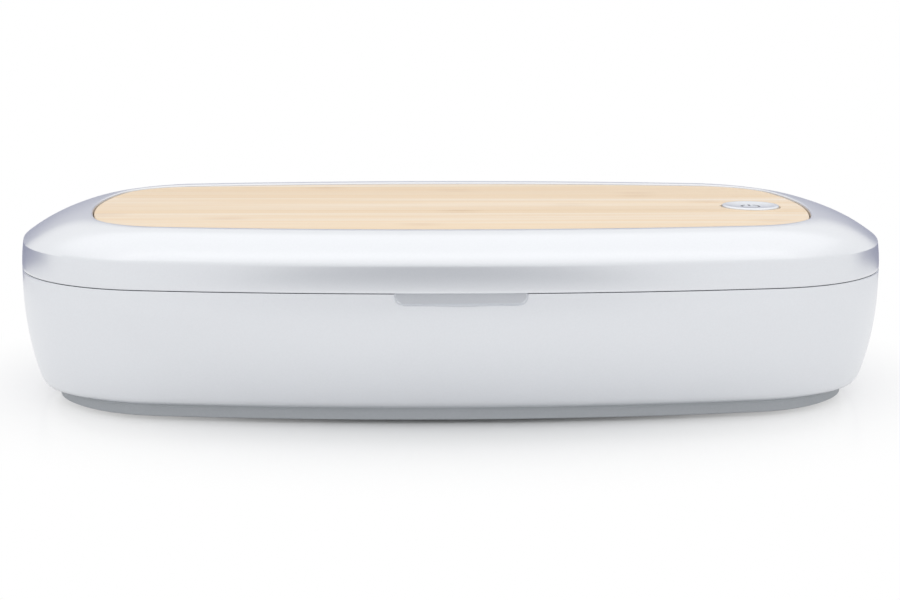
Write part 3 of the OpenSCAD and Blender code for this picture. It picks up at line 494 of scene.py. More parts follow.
def bamboo():
    """Edge-glued bamboo strips, sanded and sealed with satin lacquer: pale straw strips with
    fine straight fibres, thin glue lines and a darker knot band here and there."""
    material, tree, shader = surface("bamboo_strips_satin_lacquer", Specular_IOR_Level=0.35)
    # The strips are numbered from a line well in front of the panel
    strip_width, ahead = 0.0058, 0.2058
    place = add(tree, "SeparateXYZ", (object_point(tree),))
    x, y = place.outputs["X"], place.outputs["Y"]
    moved = calc(tree, "ADD", y, ahead)
    across = calc(tree, "DIVIDE", moved, strip_width)
    number = calc(tree, "FLOOR", across)
    share = calc(tree, "FRACT", across)
    tone = add(tree, "TexWhiteNoise", (number,), noise_dimensions="1D")
    knot_seed = 37.3
    other = calc(tree, "ADD", number, knot_seed)
    turn = add(tree, "TexWhiteNoise", (other,), noise_dimensions="1D")
    # Fibres are about 0.5 mm wide and run for several centimetres
    shift = calc(tree, "MULTIPLY", tone, 3.0)
    along = calc(tree, "MULTIPLY_ADD", x, 16.0, shift)
    aside = calc(tree, "MULTIPLY", y, 1900.0)
    point = add(tree, "CombineXYZ", (along, aside, shift))
    fibre = add(tree, "TexNoise", (point, 1.0, 3.0, 0.6))
    along = calc(tree, "MULTIPLY", x, 9.0)
    aside = calc(tree, "MULTIPLY", y, 330.0)
    point = add(tree, "CombineXYZ", (along, aside, shift))
    streak = add(tree, "TexNoise", (point, 1.0, 2.0, 0.5))
    # A knot band crosses each strip about every 230 mm, at its own place
    pitch, knot_reach = 0.23, 0.008
    warped = calc(tree, "MULTIPLY_ADD", fibre, 0.006, x)
    turns = calc(tree, "MULTIPLY_ADD", warped, 1 / pitch, turn)
    turns = calc(tree, "ADD", turns, 5.0)
    cell = calc(tree, "FRACT", turns)
    off = calc(tree, "SUBTRACT", cell, 0.5)
    off = calc(tree, "ABSOLUTE", off)
    knot = ramp(tree, off, 0.0, knot_reach / pitch, 1.0, 0.0)
    broken = ramp(tree, fibre, 0.4, 0.75, 0.1, 1.0)
    knot = calc(tree, "MULTIPLY", knot, broken)
    far_edge = calc(tree, "SUBTRACT", 1.0, share)
    glue = calc(tree, "MINIMUM", share, far_edge)
    glue = ramp(tree, glue, 0.0, 0.035, 1.0, 0.0)
    layers = [
        (ramp(tree, streak, 0.35, 0.7, 0.0, 0.8), "#F0D5B0"),
        (ramp(tree, fibre, 0.45, 0.78, 0.0, 0.5), "#E6C8A4"),
        (calc(tree, "MULTIPLY", glue, 0.3), "#CDAD88"),
        (calc(tree, "MULTIPLY", knot, 0.4), "#BB8E62"),
    ]
    base = mix(tree, tone, "#EFD6B4", "#F8EBDA")
    for amount, code in layers:
        base = mix(tree, amount, base, code)
    sheen = ramp(tree, fibre, 0.3, 0.8, 0.40, 0.52)
    height = calc(tree, "MULTIPLY_ADD", glue, -0.6, fibre)
    relief = bump(tree, height, 0.00003, 0.5)
    dress(tree, shader, Base_Color=base, Roughness=sheen, Normal=relief)
    return material


def button_metal():
    """Turned aluminium, bead-blasted and clear anodised, with a dark printed power mark: a
    ring that is open at the far side, and a bar in the opening."""
    material, tree, shader = surface("blasted_aluminium_printed_mark", Roughness=0.34)
    centred = object_point(tree, location=(-BUTTON[0] * MM, -BUTTON[1] * MM, 0))
    place = add(tree, "SeparateXYZ", (centred,))
    x, y = place.outputs["X"], place.outputs["Y"]
    ring_r, half_line = 0.0023, 0.00028
    opening_edge = (0.0009, 0.00105)
    bar_ends = ((0.0006, 0.0007), (0.0029, 0.0028))
    thick = (half_line * 0.85, half_line * 1.15, 1.0, 0.0)
    off = calc(tree, "SUBTRACT", length(tree, x, y), ring_r)
    off = calc(tree, "ABSOLUTE", off)
    ring = ramp(tree, off, *thick)
    side = calc(tree, "ABSOLUTE", x)
    ahead = calc(tree, "GREATER_THAN", y, 0.0)
    near = ramp(tree, side, *opening_edge, 1.0, 0.0)
    opening = calc(tree, "MULTIPLY", near, ahead)
    kept = calc(tree, "SUBTRACT", 1.0, opening)
    ring = calc(tree, "MULTIPLY", ring, kept)
    bar = ramp(tree, side, *thick)
    for ends in bar_ends:
        inside = ramp(tree, y, *ends)
        bar = calc(tree, "MULTIPLY", bar, inside)
    mark = calc(tree, "MAXIMUM", ring, bar)
    grain = add(tree, "TexNoise", (object_point(tree), 3200.0, 1.0))
    metal = mix(tree, grain, "#DFE2E7", "#ECEFF3")
    colour = mix(tree, mark, metal, "#5B5F66")
    bare = ramp(tree, mark, 0.0, 1.0, 0.85, 0.0)
    relief = bump(tree, grain, 0.000006, 0.5)
    dress(tree, shader, Base_Color=colour, Metallic=bare, Normal=relief)
    return material


def grained(name, dark, light, roughness, size_mm, relief_mm, spread=0.05, **values):
    """A plain material with fine mottling: two near colours, the gloss and a little relief,
    all from one noise whose grain has the given size."""
    material, tree, shader = surface(name, **values)
    grain = add(tree, "TexNoise", (object_point(tree), 1000.0 / size_mm, 2.0))
    colour = mix(tree, grain, dark, light)
    sheen = calc(tree, "MULTIPLY_ADD", grain, 2 * spread, roughness - spread)
    relief = bump(tree, grain, relief_mm * MM, 0.5)
    dress(tree, shader, Base_Color=colour, Roughness=sheen, Normal=relief)
    return material


def wound_copper():
    """Enamelled copper wire wound flat: warm brown-red turns 0.9 mm apart, each painted lighter on
    its crown and darker in the groove beside it, as painted highlight and painted shade.
    """
    half_pitch = 0.00045
    material, tree, shader = surface("wound_enamelled_copper", Metallic=1.0, Roughness=0.3)
    place = add(tree, "SeparateXYZ", (object_point(tree),))
    distance = length(tree, place.outputs["X"], place.outputs["Y"])
    turns = calc(tree, "DIVIDE", distance, half_pitch)
    turn = calc(tree, "PINGPONG", turns, 1.0)
    # The colour follows each turn's height: painted shade in the grooves, painted highlight on the
    # crowns
    colour = mix(tree, turn, "#5A2C16", "#C8794A")
    relief = bump(tree, turn, 0.0002, 0.8)
    dress(tree, shader, Base_Color=colour, Normal=relief)
    return material


def clear_glass():
    """Fused quartz disc, ground and polished: clear and slightly cool, with a trace of haze."""
    material, tree, shader = surface("fused_quartz_disc", IOR=1.46, Transmission_Weight=0.92)
    haze = add(tree, "TexNoise", (object_point(tree), 400.0, 1.0))
    colour = mix(tree, haze, "#DCE8F2", "#EDF4FA")
    sheen = ramp(tree, haze, 0.2, 0.8, 0.02, 0.08)
    dress(tree, shader, Base_Color=colour, Roughness=sheen)
    return material


# The numbers in a grained material are its roughness, the size of its grain and the height of
# its relief in millimetres
SILVER = silver_lacquer()
BAMBOO = bamboo()
BUTTON_METAL = button_metal()
# Vacuum-metallised ABS: bright and a little soft, with the moulding's slight orange peel
REFLECTOR = grained(
    "metallised_abs_reflector", "#DEE0E3", "#E2E4E7", 0.24, 8.0, 0.01, spread=0.01, Metallic=0.9
)
# Moulded ABS, spark-eroded tool, dull. Its mid grey is set darker than the silver body as painted
# shade, standing in for the shade under the heel's overhang.
PLINTH_GREY_PAINTED_SHADE = grained("moulded_abs_grey_painted_shade", "#ADB1B5", "#B6B9BD", 0.6, 0.5, 0.02)
# Moulded silicone rubber: near black and matt
RUBBER = grained("moulded_silicone_black", "#1E1F21", "#28292B", 0.8, 0.7, 0.02)
# White silicone, softly matt
SEAL_RUBBER = grained("moulded_silicone_white", "#D9D9D6", "#E3E3E0", 0.65, 0.7, 0.01)
# Rolled thread, zinc plated: a dull grey with a faint mottle
ZINC_STEEL = grained("zinc_plated_steel", "#A9ACB0", "#BDC0C4", 0.36, 0.4, 0.006, Metallic=1.0)
# Drawn and nickel plated: bright
NICKEL_STEEL = grained("nickel_plated_steel", "#C8C6C0", "#D6D4CE", 0.2, 0.5, 0.003, Metallic=1.0)
# Solder mask over copper on glass fibre: deep green and half gloss, a little uneven
GREEN_BOARD = grained("green_solder_mask", "#0F4A26", "#176033", 0.35, 2.5, 0.02)
# The same mask in white, which throws the lamps' light back
WHITE_BOARD = grained("white_solder_mask", "#DEDFDA", "#EAEBE7", 0.4, 2.5, 0.02)
# Moulded epoxy: dull black
EPOXY = grained("moulded_epoxy_black", "#1B1C1E", "#26272A", 0.55, 0.3, 0.008)
# Sintered alumina package of a lamp: warm white, smooth
LAMP_CERAMIC = grained("sintered_alumina", "#E3E0D2", "#EFEDE2", 0.3, 0.6, 0.005)
# Pressed and sintered ferrite: dark grey, dull
FERRITE = grained("sintered_ferrite", "#2A2A2C", "#363638", 0.6, 0.5, 0.01)
# Moulded acetal: milky white with a low sheen
ACETAL = grained("moulded_acetal_white", "#DCDCD8", "#E8E8E4", 0.42, 0.6, 0.006)
COPPER = wound_copper()
QUARTZ = clear_glass()


# Lower housing


def heel_and_wall(depth, upright, heel, first=math.pi / 2):
    """The lower wall's profile from the foot up, at a depth into the wall: an arc at the
    heel from the first angle, a long arc, and then upright to where the top edge is eased,
    with numbers of points for the long arc and the heel. The third value is what the inset
    is less by at the ends, a share of the curve's own inset."""
    t = np.linspace(first, TURN_ANGLE, heel)
    r = HEEL_R - depth
    less = (1 - END_SHARE) * (HEEL_INSET - HEEL_R * np.cos(t))
    foot = np.column_stack([HEEL_INSET - r * np.cos(t), HEEL_Z - r * np.sin(t), less])
    t = np.linspace(TURN_ANGLE, 0, upright)[1:]
    r = WALL_R - depth
    less = (1 - END_SHARE) * WALL_R * (1 - np.cos(t))
    wall = np.column_stack([WALL_R - r * np.cos(t), CURVE_Z - r * np.sin(t), less])
    step = 0.15
    z = np.arange(CURVE_Z + step, BASE_TOP - TOP_EASE, step)
    top = np.column_stack([np.full(len(z), depth), z, np.zeros(len(z))])
    return np.concatenate([foot, wall, top])


def notch_depth(x, z):
    """Depth of the finger notch: inside a flat-topped shape with round lower corners it
    deepens steadily towards the parting line, and it rises smoothly over its sides."""
    width, height, corner, slope = 31.4, 2.9, 2.4, 0.45
    deepest, lean = 1.2, 0.11
    down = PARTING_Z - z
    depth = deepest - lean * down
    dx = np.maximum(np.abs(x) - (width / 2 - corner), 0)
    dz = np.maximum(down - (height - corner), 0)
    return depth * smoothstep(0.0, slope, corner - np.hypot(dx, dz))


def lower_housing():
    """The swept wall with its ledge, cut down at the rear for the hinge barrel and pressed
    in at the front for the finger notch, with knuckles and their shelf, screw bosses and
    magnet drums. The ribs and the sensor's shelf, hidden in the whole box, are left out."""
    shell = Shell()
    # Places stand close over the notch, and closest at its sloping sides
    slope_x, past_x, closest, close = 12.8, 16.3, 0.15, 1.6
    fine = np.concatenate([np.arange(slope_x, past_x, closest), np.arange(0.0, slope_x, close)])
    places = stations(np.concatenate([-fine[::-1], fine[fine > 0]]), steps_at(COVE_X))
    outside = heel_and_wall(0.0, 26, 12)
    inside = heel_and_wall(HOUSING_WALL, 14, 6)[::-1]
    ease, edge = TOP_EASE, 0.15
    t = np.linspace(0, math.pi / 2, 5)
    rim = np.column_stack(
        [ease - ease * np.cos(t), BASE_TOP - ease + ease * np.sin(t), np.zeros(len(t))]
    )
    profile = np.concatenate(
        [
            [[LEDGE_END, HOUSING_Z, 0]],
            outside,
            rim,
            [[HOUSING_WALL - edge, BASE_TOP, 0], [HOUSING_WALL, BASE_TOP - edge, 0]],
            inside,
            [[LEDGE_END, HOUSING_Z + HOUSING_WALL, 0]],
        ]
    )
    grid = sweep(BODY_PLAN, places, profile)
    x, y, z = grid[..., 0], grid[..., 1], grid[..., 2]
    depth = notch_depth(x, z)
    pressed = (y < 0) & (depth > 0.001)
    y[pressed] = np.maximum(y, depth - BODY_PLAN[1])[pressed]
    near = (y > 0) & (np.abs(x) < COVE_X)
    back = np.clip(HINGE_Y - y, 0, COVE_R)
    top = np.where(y > HINGE_Y, REAR_TOP, HINGE_Z - np.sqrt(COVE_R**2 - back**2))
    top = np.where(HINGE_Y - y > COVE_R, BASE_TOP, top)
    z[near] = np.minimum(z, top)[near]
    shell.grid(grid, wrap_columns=True)
    for side in (-1, 1):
        knuckle(shell, side * KNUCKLE_X)
    shelf_x = KNUCKLE_X + KNUCKLE_W / 2 + 9
    shelf_h, rear = 8.5, 53.45
    front, low = HINGE_Y - COVE_R, REAR_TOP - shelf_h
    shelf = [(front, low), (rear, low), (rear, REAR_TOP), (front, REAR_TOP)]
    shell.bar(shelf, -shelf_x, shelf_x)
    base_bosses(shell)
    housing = shell.piece("lower_housing", "base", "shell", SILVER, ["base_shell"])
    cut_socket_slot(housing)
    return housing


def plinth_band():
    """The plinth's side, which runs out to the heel in a hollow curve with one control point. The
    hollow takes the plinth's darker grey as painted shade where the heel turns under. The band's
    back lies inside the wall and the bottom plate."""
    proud, start, thick, meets = 0.05, 0.4, 2.7, math.radians(62)
    foot_gap, back_rise, over_wall = 0.3, 1.2, 0.02
    edge = PLINTH_INSET - proud
    heel = heel_and_wall(-over_wall, 2, 2, meets)[0]
    low, bend = np.array([[edge, HOUSING_Z - start, PLINTH_END], [edge, HOUSING_Z, PLINTH_END]])
    t = np.linspace(0, 1, 8)[:, None]
    hollow = (1 - t) ** 2 * low + 2 * t * (1 - t) * bend + t * t * heel
    foot, back = PLINTH_Z + foot_gap, edge + thick
    behind = [[back, HOUSING_Z + back_rise, PLINTH_END], [back, foot, PLINTH_END]]
    profile = np.concatenate([[[edge, foot, PLINTH_END]], hollow, behind])
    grid = sweep(BODY_PLAN, stations(), profile)
    band = Shell().grid(grid, wrap_columns=True)
    # The band's darker grey is painted shade for the shadow under the heel
    return band.piece("plinth_band", "base", "plinth", PLINTH_GREY_PAINTED_SHADE)


def knuckle(shell, x):
    """A round eye about the hinge axis, cut to the outline, on a web."""
    eye = arc((HINGE_Y, HINGE_Z), BARREL_R, -96, 180, 40)
    eye[:, 0] = np.minimum(eye[:, 0], BODY_PLAN[1] - side_fall(x) - 0.02)
    low = REAR_TOP - 1
    section = np.concatenate([[(HINGE_Y - 0.4, low)], eye, [(HINGE_Y - BARREL_R, low)]])
    shell.bar(section, x - KNUCKLE_W / 2, x + KNUCKLE_W / 2)


def cup(outer, inner, low, seat, top):
    """Profile of a round boss with a hole down to a seat."""
    return [(0, low), (outer, low), (outer, top), (inner, top), (inner, seat), (0, seat)]


def base_bosses(shell):
    """Screw bosses that stand on the ledge, and the drums that hold the magnets at the middle
    of the two front corners."""
    boss = cup(outer=3.0, inner=1.05, low=5.0, seat=6.0, top=10.8)
    for spot in six_places(58.0, side_inset=13.8, end_inset=13.8):
        shell.turned(boss, spot, 32)
    drum = cup(outer=3.4, inner=2.55, low=23.6, seat=28.6, top=31.0)
    magnet_inset = 5.6
    for front_corner in (5, 7):
        place = outline(BODY_PLAN, np.array([[front_corner, 0.5]]), magnet_inset)[0]
        shell.turned(drum, place, 40)


def cut_socket_slot(housing):
    """Cuts the oval opening for the charging socket through the rear wall."""
    width, height, middle_z = 9.4, 3.7, 8.8
    half, r = (width - height) / 2, height / 2
    section = np.concatenate([arc((half, 0), r, -90, 90, 17), arc((-half, 0), r, 90, 270, 17)])
    cutter = Shell()
    within, beyond = 40.0, 60.0
    grid = np.array([[(px, y, middle_z + pz) for px, pz in section] for y in (within, beyond)])
    n = len(section)
    cutter.add(grid, grid_faces(2, n, wrap_rows=False, wrap_columns=True))
    cutter.faces += [list(range(n)), list(range(n, 2 * n))[::-1]]
    mesh = bpy.data.meshes.new("slot_cutter")
    mesh.from_pydata((np.concatenate(cutter.points) * MM).tolist(), [], cutter.faces)
    work = bmesh.new()
    work.from_mesh(mesh)
    bmesh.ops.recalc_face_normals(work, faces=work.faces)
    work.to_mesh(mesh)
    work.free()
    tool = placed("slot_cutter", mesh)
    cut = housing.modifiers.new("slot", "BOOLEAN")
    cut.operation = "DIFFERENCE"
    cut.object = tool
    cut.solver = "EXACT"
    bpy.context.view_layer.update()
    seen = housing.evaluated_get(bpy.context.evaluated_depsgraph_get())
    mesh = bpy.data.meshes.new_from_object(seen)
    housing.modifiers.clear()
    housing.data = mesh
    bpy.data.objects.remove(tool)
    mesh.polygons.foreach_set("use_smooth", np.ones(len(mesh.polygons), bool))
    mesh.set_sharp_from_angle(angle=math.radians(SHADE_ANGLE))


# Lid


def between(pair, share):
    """The value at a share of the way from one value to another."""
    first, last = pair
    return first + (last - first) * share


def crown(places):
    """Rows of the crown from the rim's edge to the lip: a curve with one control point,
    which lies further in and lower at the ends than at the sides. It stays under the top of
    the CAD model, whose crown is the same curve in fewer steps."""
    edge = outline(BODY_PLAN, places, RIM_LEAN)
    lip = outline(PANEL_PLAN, places, -PANEL_GAP - LIP_ROUND)
    run = lip - edge
    endness = np.square(run[:, 0] / np.hypot(*run.T))
    reach = between(CROWN_REACH, endness)[:, None]
    control = between(CROWN_CONTROL, endness)[:, None]
    steps = 26
    t = np.linspace(0, 1, steps)[None, :]
    s = 2 * t * (1 - t) * reach + t * t
    grid = np.empty((len(places), steps, 3))
    grid[..., :2] = edge[:, None, :] + s[..., None] * run[:, None, :]
    z = RIM_Z + (LIP_Z - RIM_Z) * (2 * t * (1 - t) * control + t * t)
    grid[..., 2] = np.minimum(z, cad_box[1][2] / MM)
    return grid


def lid_skin():
    """The lid from its ceiling down the inside, round the lower edge, up the rim and the
    crown and into the panel's pocket, with the hinge barrel rolled on at the rear."""
    half_room = KNUCKLE_W / 2 + KNUCKLE_GAP
    knuckle_edges = np.array([KNUCKLE_X - half_room, KNUCKLE_X + half_room])
    places = stations(rear=steps_at(*knuckle_edges))
    ease, edge, ceiling_inset, least_room = 0.25, 0.15, 7.6, 0.8
    turn = np.linspace(0, math.pi / 2, 5)
    # Inset and height of the ceiling, the vault and the wall
    inner = [
        (ceiling_inset, CEILING_Z),
        (4.3, CEILING_Z - 1.35),
        (LID_WALL, CEILING_Z - 3.6),
        (LID_WALL, 37.5),
        (LID_WALL, 35.5),
        (LID_WALL, LID_BOTTOM + edge),
        (LID_WALL - edge, LID_BOTTOM),
    ]
    lower = np.column_stack([ease - ease * np.sin(turn), LID_BOTTOM + ease - ease * np.cos(turn)])
    t = np.linspace(0, 1, 13)[1:-1]
    start = LID_BOTTOM + ease
    band = np.column_stack([RIM_LEAN * t * t, start + (RIM_Z - start) * t])
    first = sweep(BODY_PLAN, places, np.concatenate([inner, lower, band]))
    lip_turn = np.linspace(0, math.pi / 2, 5)[1:]
    lip_inset = LIP_ROUND * np.sin(lip_turn) - PANEL_GAP - LIP_ROUND
    lip = np.column_stack([lip_inset, LIP_Z - LIP_ROUND + LIP_ROUND * np.cos(lip_turn)])
    last = sweep(PANEL_PLAN, places, np.concatenate([lip, [(-PANEL_GAP, POCKET_Z)]]))
    grid = np.concatenate([first, crown(places), last], 1)
    x, y, z = grid[..., 0], grid[..., 1], grid[..., 2]
    gap = (y > HINGE_Y - COVE_R) & (np.abs(x) > knuckle_edges[0]) & (np.abs(x) < knuckle_edges[1])
    off = np.minimum(np.abs(y - HINGE_Y), COVE_R)
    room = HINGE_Z + np.maximum(np.sqrt(COVE_R**2 - off**2), least_room)
    z[gap] = np.maximum(z, room)[gap]
    shell = Shell().grid(grid)
    ceiling = outline(BODY_PLAN, places, ceiling_inset)
    hole_r, bush_r, bush_z = STEM_R + 0.06, STEM_R + 1.7, STEM_Z + 0.4
    stem = circle(BUTTON, hole_r, 32)
    shell.plate(ceiling, [stem], CEILING_Z, up=False)
    coil_r, coil_z = 25.4, 42.8
    recess = circle((0, 0), coil_r, 96)
    shell.plate(outline(PANEL_PLAN, places, -PANEL_GAP), [recess, stem], POCKET_Z)
    shell.turned([(coil_r, POCKET_Z), (coil_r, coil_z), (0, coil_z)], (0, 0), 96)
    bush = [(hole_r, POCKET_Z), (hole_r, bush_z), (bush_r, bush_z), (bush_r, CEILING_Z)]
    shell.turned(bush, BUTTON, 32)
    for x1, x2 in ((BARREL_GAP, knuckle_edges[0]), (knuckle_edges[1], ROLLED_X)):
        for side in (-1, 1):
            barrel(shell, *sorted((side * x1, side * x2)))
    return shell.piece("lid_skin", "lid", "shell", SILVER, ["lid_shell"])


def barrel(shell, x1, x2):
    """A length of the rolled rear edge: a circle about the hinge axis at each place along X,
    cut to the outline of the box."""
    ease = 0.25
    xs = np.concatenate([[x1], np.linspace(x1 + ease, x2 - ease, 24), [x2]])
    angle = ROUND * np.arange(56) / 56
    radius = np.full(len(xs), BARREL_R)
    radius[[0, -1]] = BARREL_R - ease
    grid = np.empty((len(xs), len(angle), 3))
    grid[..., 0] = xs[:, None]
    drawn = np.where(radius < BARREL_R, ease, 0.0)
    limit = (BODY_PLAN[1] - side_fall(xs) - drawn)[:, None]
    grid[..., 1] = np.minimum(HINGE_Y + radius[:, None] * np.cos(angle), limit)
    grid[..., 2] = HINGE_Z + radius[:, None] * np.sin(angle)
    shell.rod(grid)


def bamboo_panel():
    """The panel: its outline with an eased top edge, and a hole for the button whose edge is
    eased half as much."""
    places = stations()
    ease = 0.4
    turn = np.linspace(0, math.pi / 2, 6)
    edge = np.column_stack([ease - ease * np.cos(turn), PANEL_Z - ease + ease * np.sin(turn)])
    shell = Shell().grid(sweep(PANEL_PLAN, places, np.concatenate([[(0, POCKET_Z)], edge])))
    hole = BUTTON_R + BUTTON_GAP
    small = 0.2
    wide = hole + small
    inside = np.column_stack([wide - small * np.cos(turn), PANEL_Z - small + small * np.sin(turn)])
    shell.turned(np.concatenate([inside[::-1], [(hole, POCKET_Z)]]), BUTTON, 96)
    shell.plate(outline(PANEL_PLAN, places, ease), [circle(BUTTON, wide, 96)], PANEL_Z)
    shell.plate(outline(PANEL_PLAN, places), [circle(BUTTON, hole, 96)], POCKET_Z, up=False)
    return shell.piece("bamboo_top", "lid", "bamboo", BAMBOO, ["bamboo_panel"])


def push_button():
    """The button, turned: stem, flat underside, round edge and a shallow dished face."""
    cap_h, flat_w, dish, lip, ease = 2.0, 1.0, 0.45, 0.25, 0.4
    cap = BUTTON_TOP - cap_h
    dish_r = BUTTON_R - flat_w
    ball = (dish_r**2 + dish**2) / (2 * dish)
    turn = np.linspace(0, math.pi / 2, 8)
    edge_r = BUTTON_R - ease + ease * np.cos(turn)
    edge = np.column_stack([edge_r, BUTTON_TOP - ease + ease * np.sin(turn)])
    r = np.linspace(dish_r + lip, 0, 24)
    face = BUTTON_TOP - dish + ball - np.sqrt(ball**2 - np.minimum(r, dish_r) ** 2)
    face[0] = BUTTON_TOP
    stem = [(0, STEM_Z), (STEM_R, STEM_Z), (STEM_R, cap), (BUTTON_R, cap)]
    profile = np.concatenate([stem, edge, np.column_stack([r, face])])
    return Shell().turned(profile, BUTTON, 128).piece(
        "push_button", "button", "button", BUTTON_METAL, ["power_button"], smooth=28
    )


# Chamber


def window_wells(shell, wide_end, seat, narrow_end):
    """Stepped holes for the lamp windows, through a plate."""
    wide, narrow = WELL_R, LAMP_HOLE_R
    profile = [(wide, wide_end), (wide, seat), (narrow, seat), (narrow, narrow_end)]
    for x in LAMP_XS:
        shell.turned(profile if wide_end > narrow_end else profile[::-1], (x, 0), 48)


def chamber():
    """The bright tub: flange, leaning wall, round foot and a floor with ribs and window
    wells. The flange is cut back at the rear, clear of the hinge barrel."""
    floor, under, flange, flange_top, flange_inset = 12.4, 11.2, 31.0, 32.4, 2.8
    wall, foot_r, foot_inset, brim_r, edge, cut_x = 1.2, 5.0, 15.4, 0.5, 0.15, 59.95
    rib_pitch, rib_half, rib_h = 20.0, 29.0, 1.4
    places = stations(rear=steps_at(cut_x))

    def side(depth, steps):
        t = np.linspace(0, math.pi / 2, steps)
        r = foot_r + depth
        return np.column_stack([foot_inset - r * np.cos(t), floor + foot_r - r * np.sin(t)])

    t = np.linspace(0, math.pi / 2, 5)
    brim_inset, brim_z = TUB_INSET - brim_r, flange_top - brim_r
    brim = np.column_stack([brim_inset + brim_r * np.sin(t), brim_z + brim_r * np.cos(t)])
    rim = [
        (TUB_INSET - wall, flange),
        (flange_inset, flange),
        (flange_inset, flange_top - edge),
        (flange_inset + edge, flange_top),
    ]
    profile = np.concatenate([side(wall, 8)[::-1], rim, brim, side(0.0, 14)])
    grid = sweep(BODY_PLAN, places, profile)
    x, y = grid[..., 0], grid[..., 1]
    near = np.abs(x) < cut_x
    y[near] = np.minimum(y, TUB_REAR)[near]
    shell = Shell().grid(grid)
    foot = outline(BODY_PLAN, places, foot_inset)
    shell.plate(foot, [circle((x, 0), WELL_R) for x in LAMP_XS], floor)
    shell.plate(foot, [circle((x, 0), LAMP_HOLE_R) for x in LAMP_XS], under, up=False)
    window_wells(shell, floor, floor - WELL_H, under)
    for mirror in (-1, 1):
        for k in range(3):
            rib(shell, mirror * (k + 0.5) * rib_pitch, rib_half, floor, rib_h)
    return shell.piece("chamber_reflector", "base", "reflector", REFLECTOR, ["chamber_tub"])


def rib(shell, x, reach, floor, height):
    """A low rib along Y with a round top and round ends: a half circle on short uprights,
    whose width and height shrink to nothing over each end's quarter circle."""
    w = 0.9
    turn = np.linspace(0, math.pi / 2, 6)
    ys = np.concatenate([w - w * np.cos(turn) - reach, reach - w + w * np.sin(turn)])
    size = np.maximum(np.concatenate([np.sin(turn), np.cos(turn)]), 0.01)[:, None]
    angle = np.linspace(0, math.pi, 13)
    half = np.concatenate([[w], w * np.cos(angle), [-w]])
    rise = np.concatenate([[0], height - w + w * np.sin(angle), [0]])
    grid = np.empty((len(ys), len(half), 3))
    grid[..., 0] = x + half * size
    grid[..., 1] = ys[:, None]
    grid[..., 2] = floor - 0.01 + rise * size
    faces = grid_faces(len(ys), len(half), wrap_rows=False)
    shell.add(grid, [face[::-1] for face in faces])


def lid_reflector():
    """The lid's reflector: flange, hollow and ceiling with window wells and screw holes,
    cut back at the rear, clear of the hinge barrel."""
    low, under, top, flange_top, flange_inset = 33.9, 36.0, 37.2, 35.1, 2.6
    ceiling_inset, top_inset, hollow_inset = 11.4, 9.4, 10.3
    brim_r, edge, cut_x = 0.4, 0.15, 59.6
    sink_r, sink_h, screw_r = 2.2, 1.1, 1.0
    places = stations(rear=steps_at(cut_x))
    t = np.linspace(0, math.pi / 2, 5)
    brim_inset, brim_z = hollow_inset - brim_r, low + brim_r
    brim = np.column_stack([brim_inset + brim_r * np.sin(t), brim_z - brim_r * np.cos(t)])
    turn = [
        (ceiling_inset, under),
        (ceiling_inset - 0.35, under - 0.12),
        (ceiling_inset - 0.55, under - 0.4),
    ]
    flange = [
        (flange_inset + edge, low),
        (flange_inset, low + edge),
        (flange_inset, flange_top - edge),
        (flange_inset + edge, flange_top),
        (top_inset - 0.4, flange_top),
        (top_inset, top),
    ]
    profile = np.concatenate([turn, brim[::-1], flange])
    grid = sweep(BODY_PLAN, places, profile)
    x, y = grid[..., 0], grid[..., 1]
    near = np.abs(x) < cut_x
    y[near] = np.minimum(y, TUB_REAR)[near]
    shell = Shell().grid(grid)
    screws = six_places(64.0, side_inset=15.0, end_inset=17.0)
    wells = [circle((x, 0), WELL_R) for x in LAMP_XS]
    sinks = [circle(spot, sink_r, 32) for spot in screws]
    shell.plate(outline(BODY_PLAN, places, ceiling_inset), wells + sinks, under, up=False)
    small = [circle((x, 0), LAMP_HOLE_R) for x in LAMP_XS]
    small += [circle(spot, screw_r, 32) for spot in screws]
    shell.plate(outline(BODY_PLAN, places, top_inset), small, top)
    window_wells(shell, under, under + WELL_H, top)
    for spot in screws:
        shell.turned([(screw_r, top), (screw_r, under + sink_h), (sink_r, under)], spot, 32)
    return shell.piece("lid_reflector", "lid", "reflector", REFLECTOR, ["lid_liner"])


def seal_ring():
    """The soft light seal: a flat-backed ring with a round lower lip."""
    middle, half, lip_z, lip_h, top = 8.3, 0.9, 33.2, 0.5, 33.9
    t = np.linspace(0, math.pi, 9)
    lip = np.column_stack([middle + half * np.cos(t), lip_z - lip_h * np.sin(t)])
    profile = np.concatenate([lip, [(middle - half, top), (middle + half, top)]])
    return (
        Shell()
        .grid(sweep(BODY_PLAN, stations(), profile), wrap_columns=True)
        .piece("seal_ring", "lid", "seal", SEAL_RUBBER, ["light_seal"], smooth=40)
    )


lower_housing()
plinth_band()
lid_skin()
bamboo_panel()
push_button()
chamber()
lid_reflector()
seal_ring()

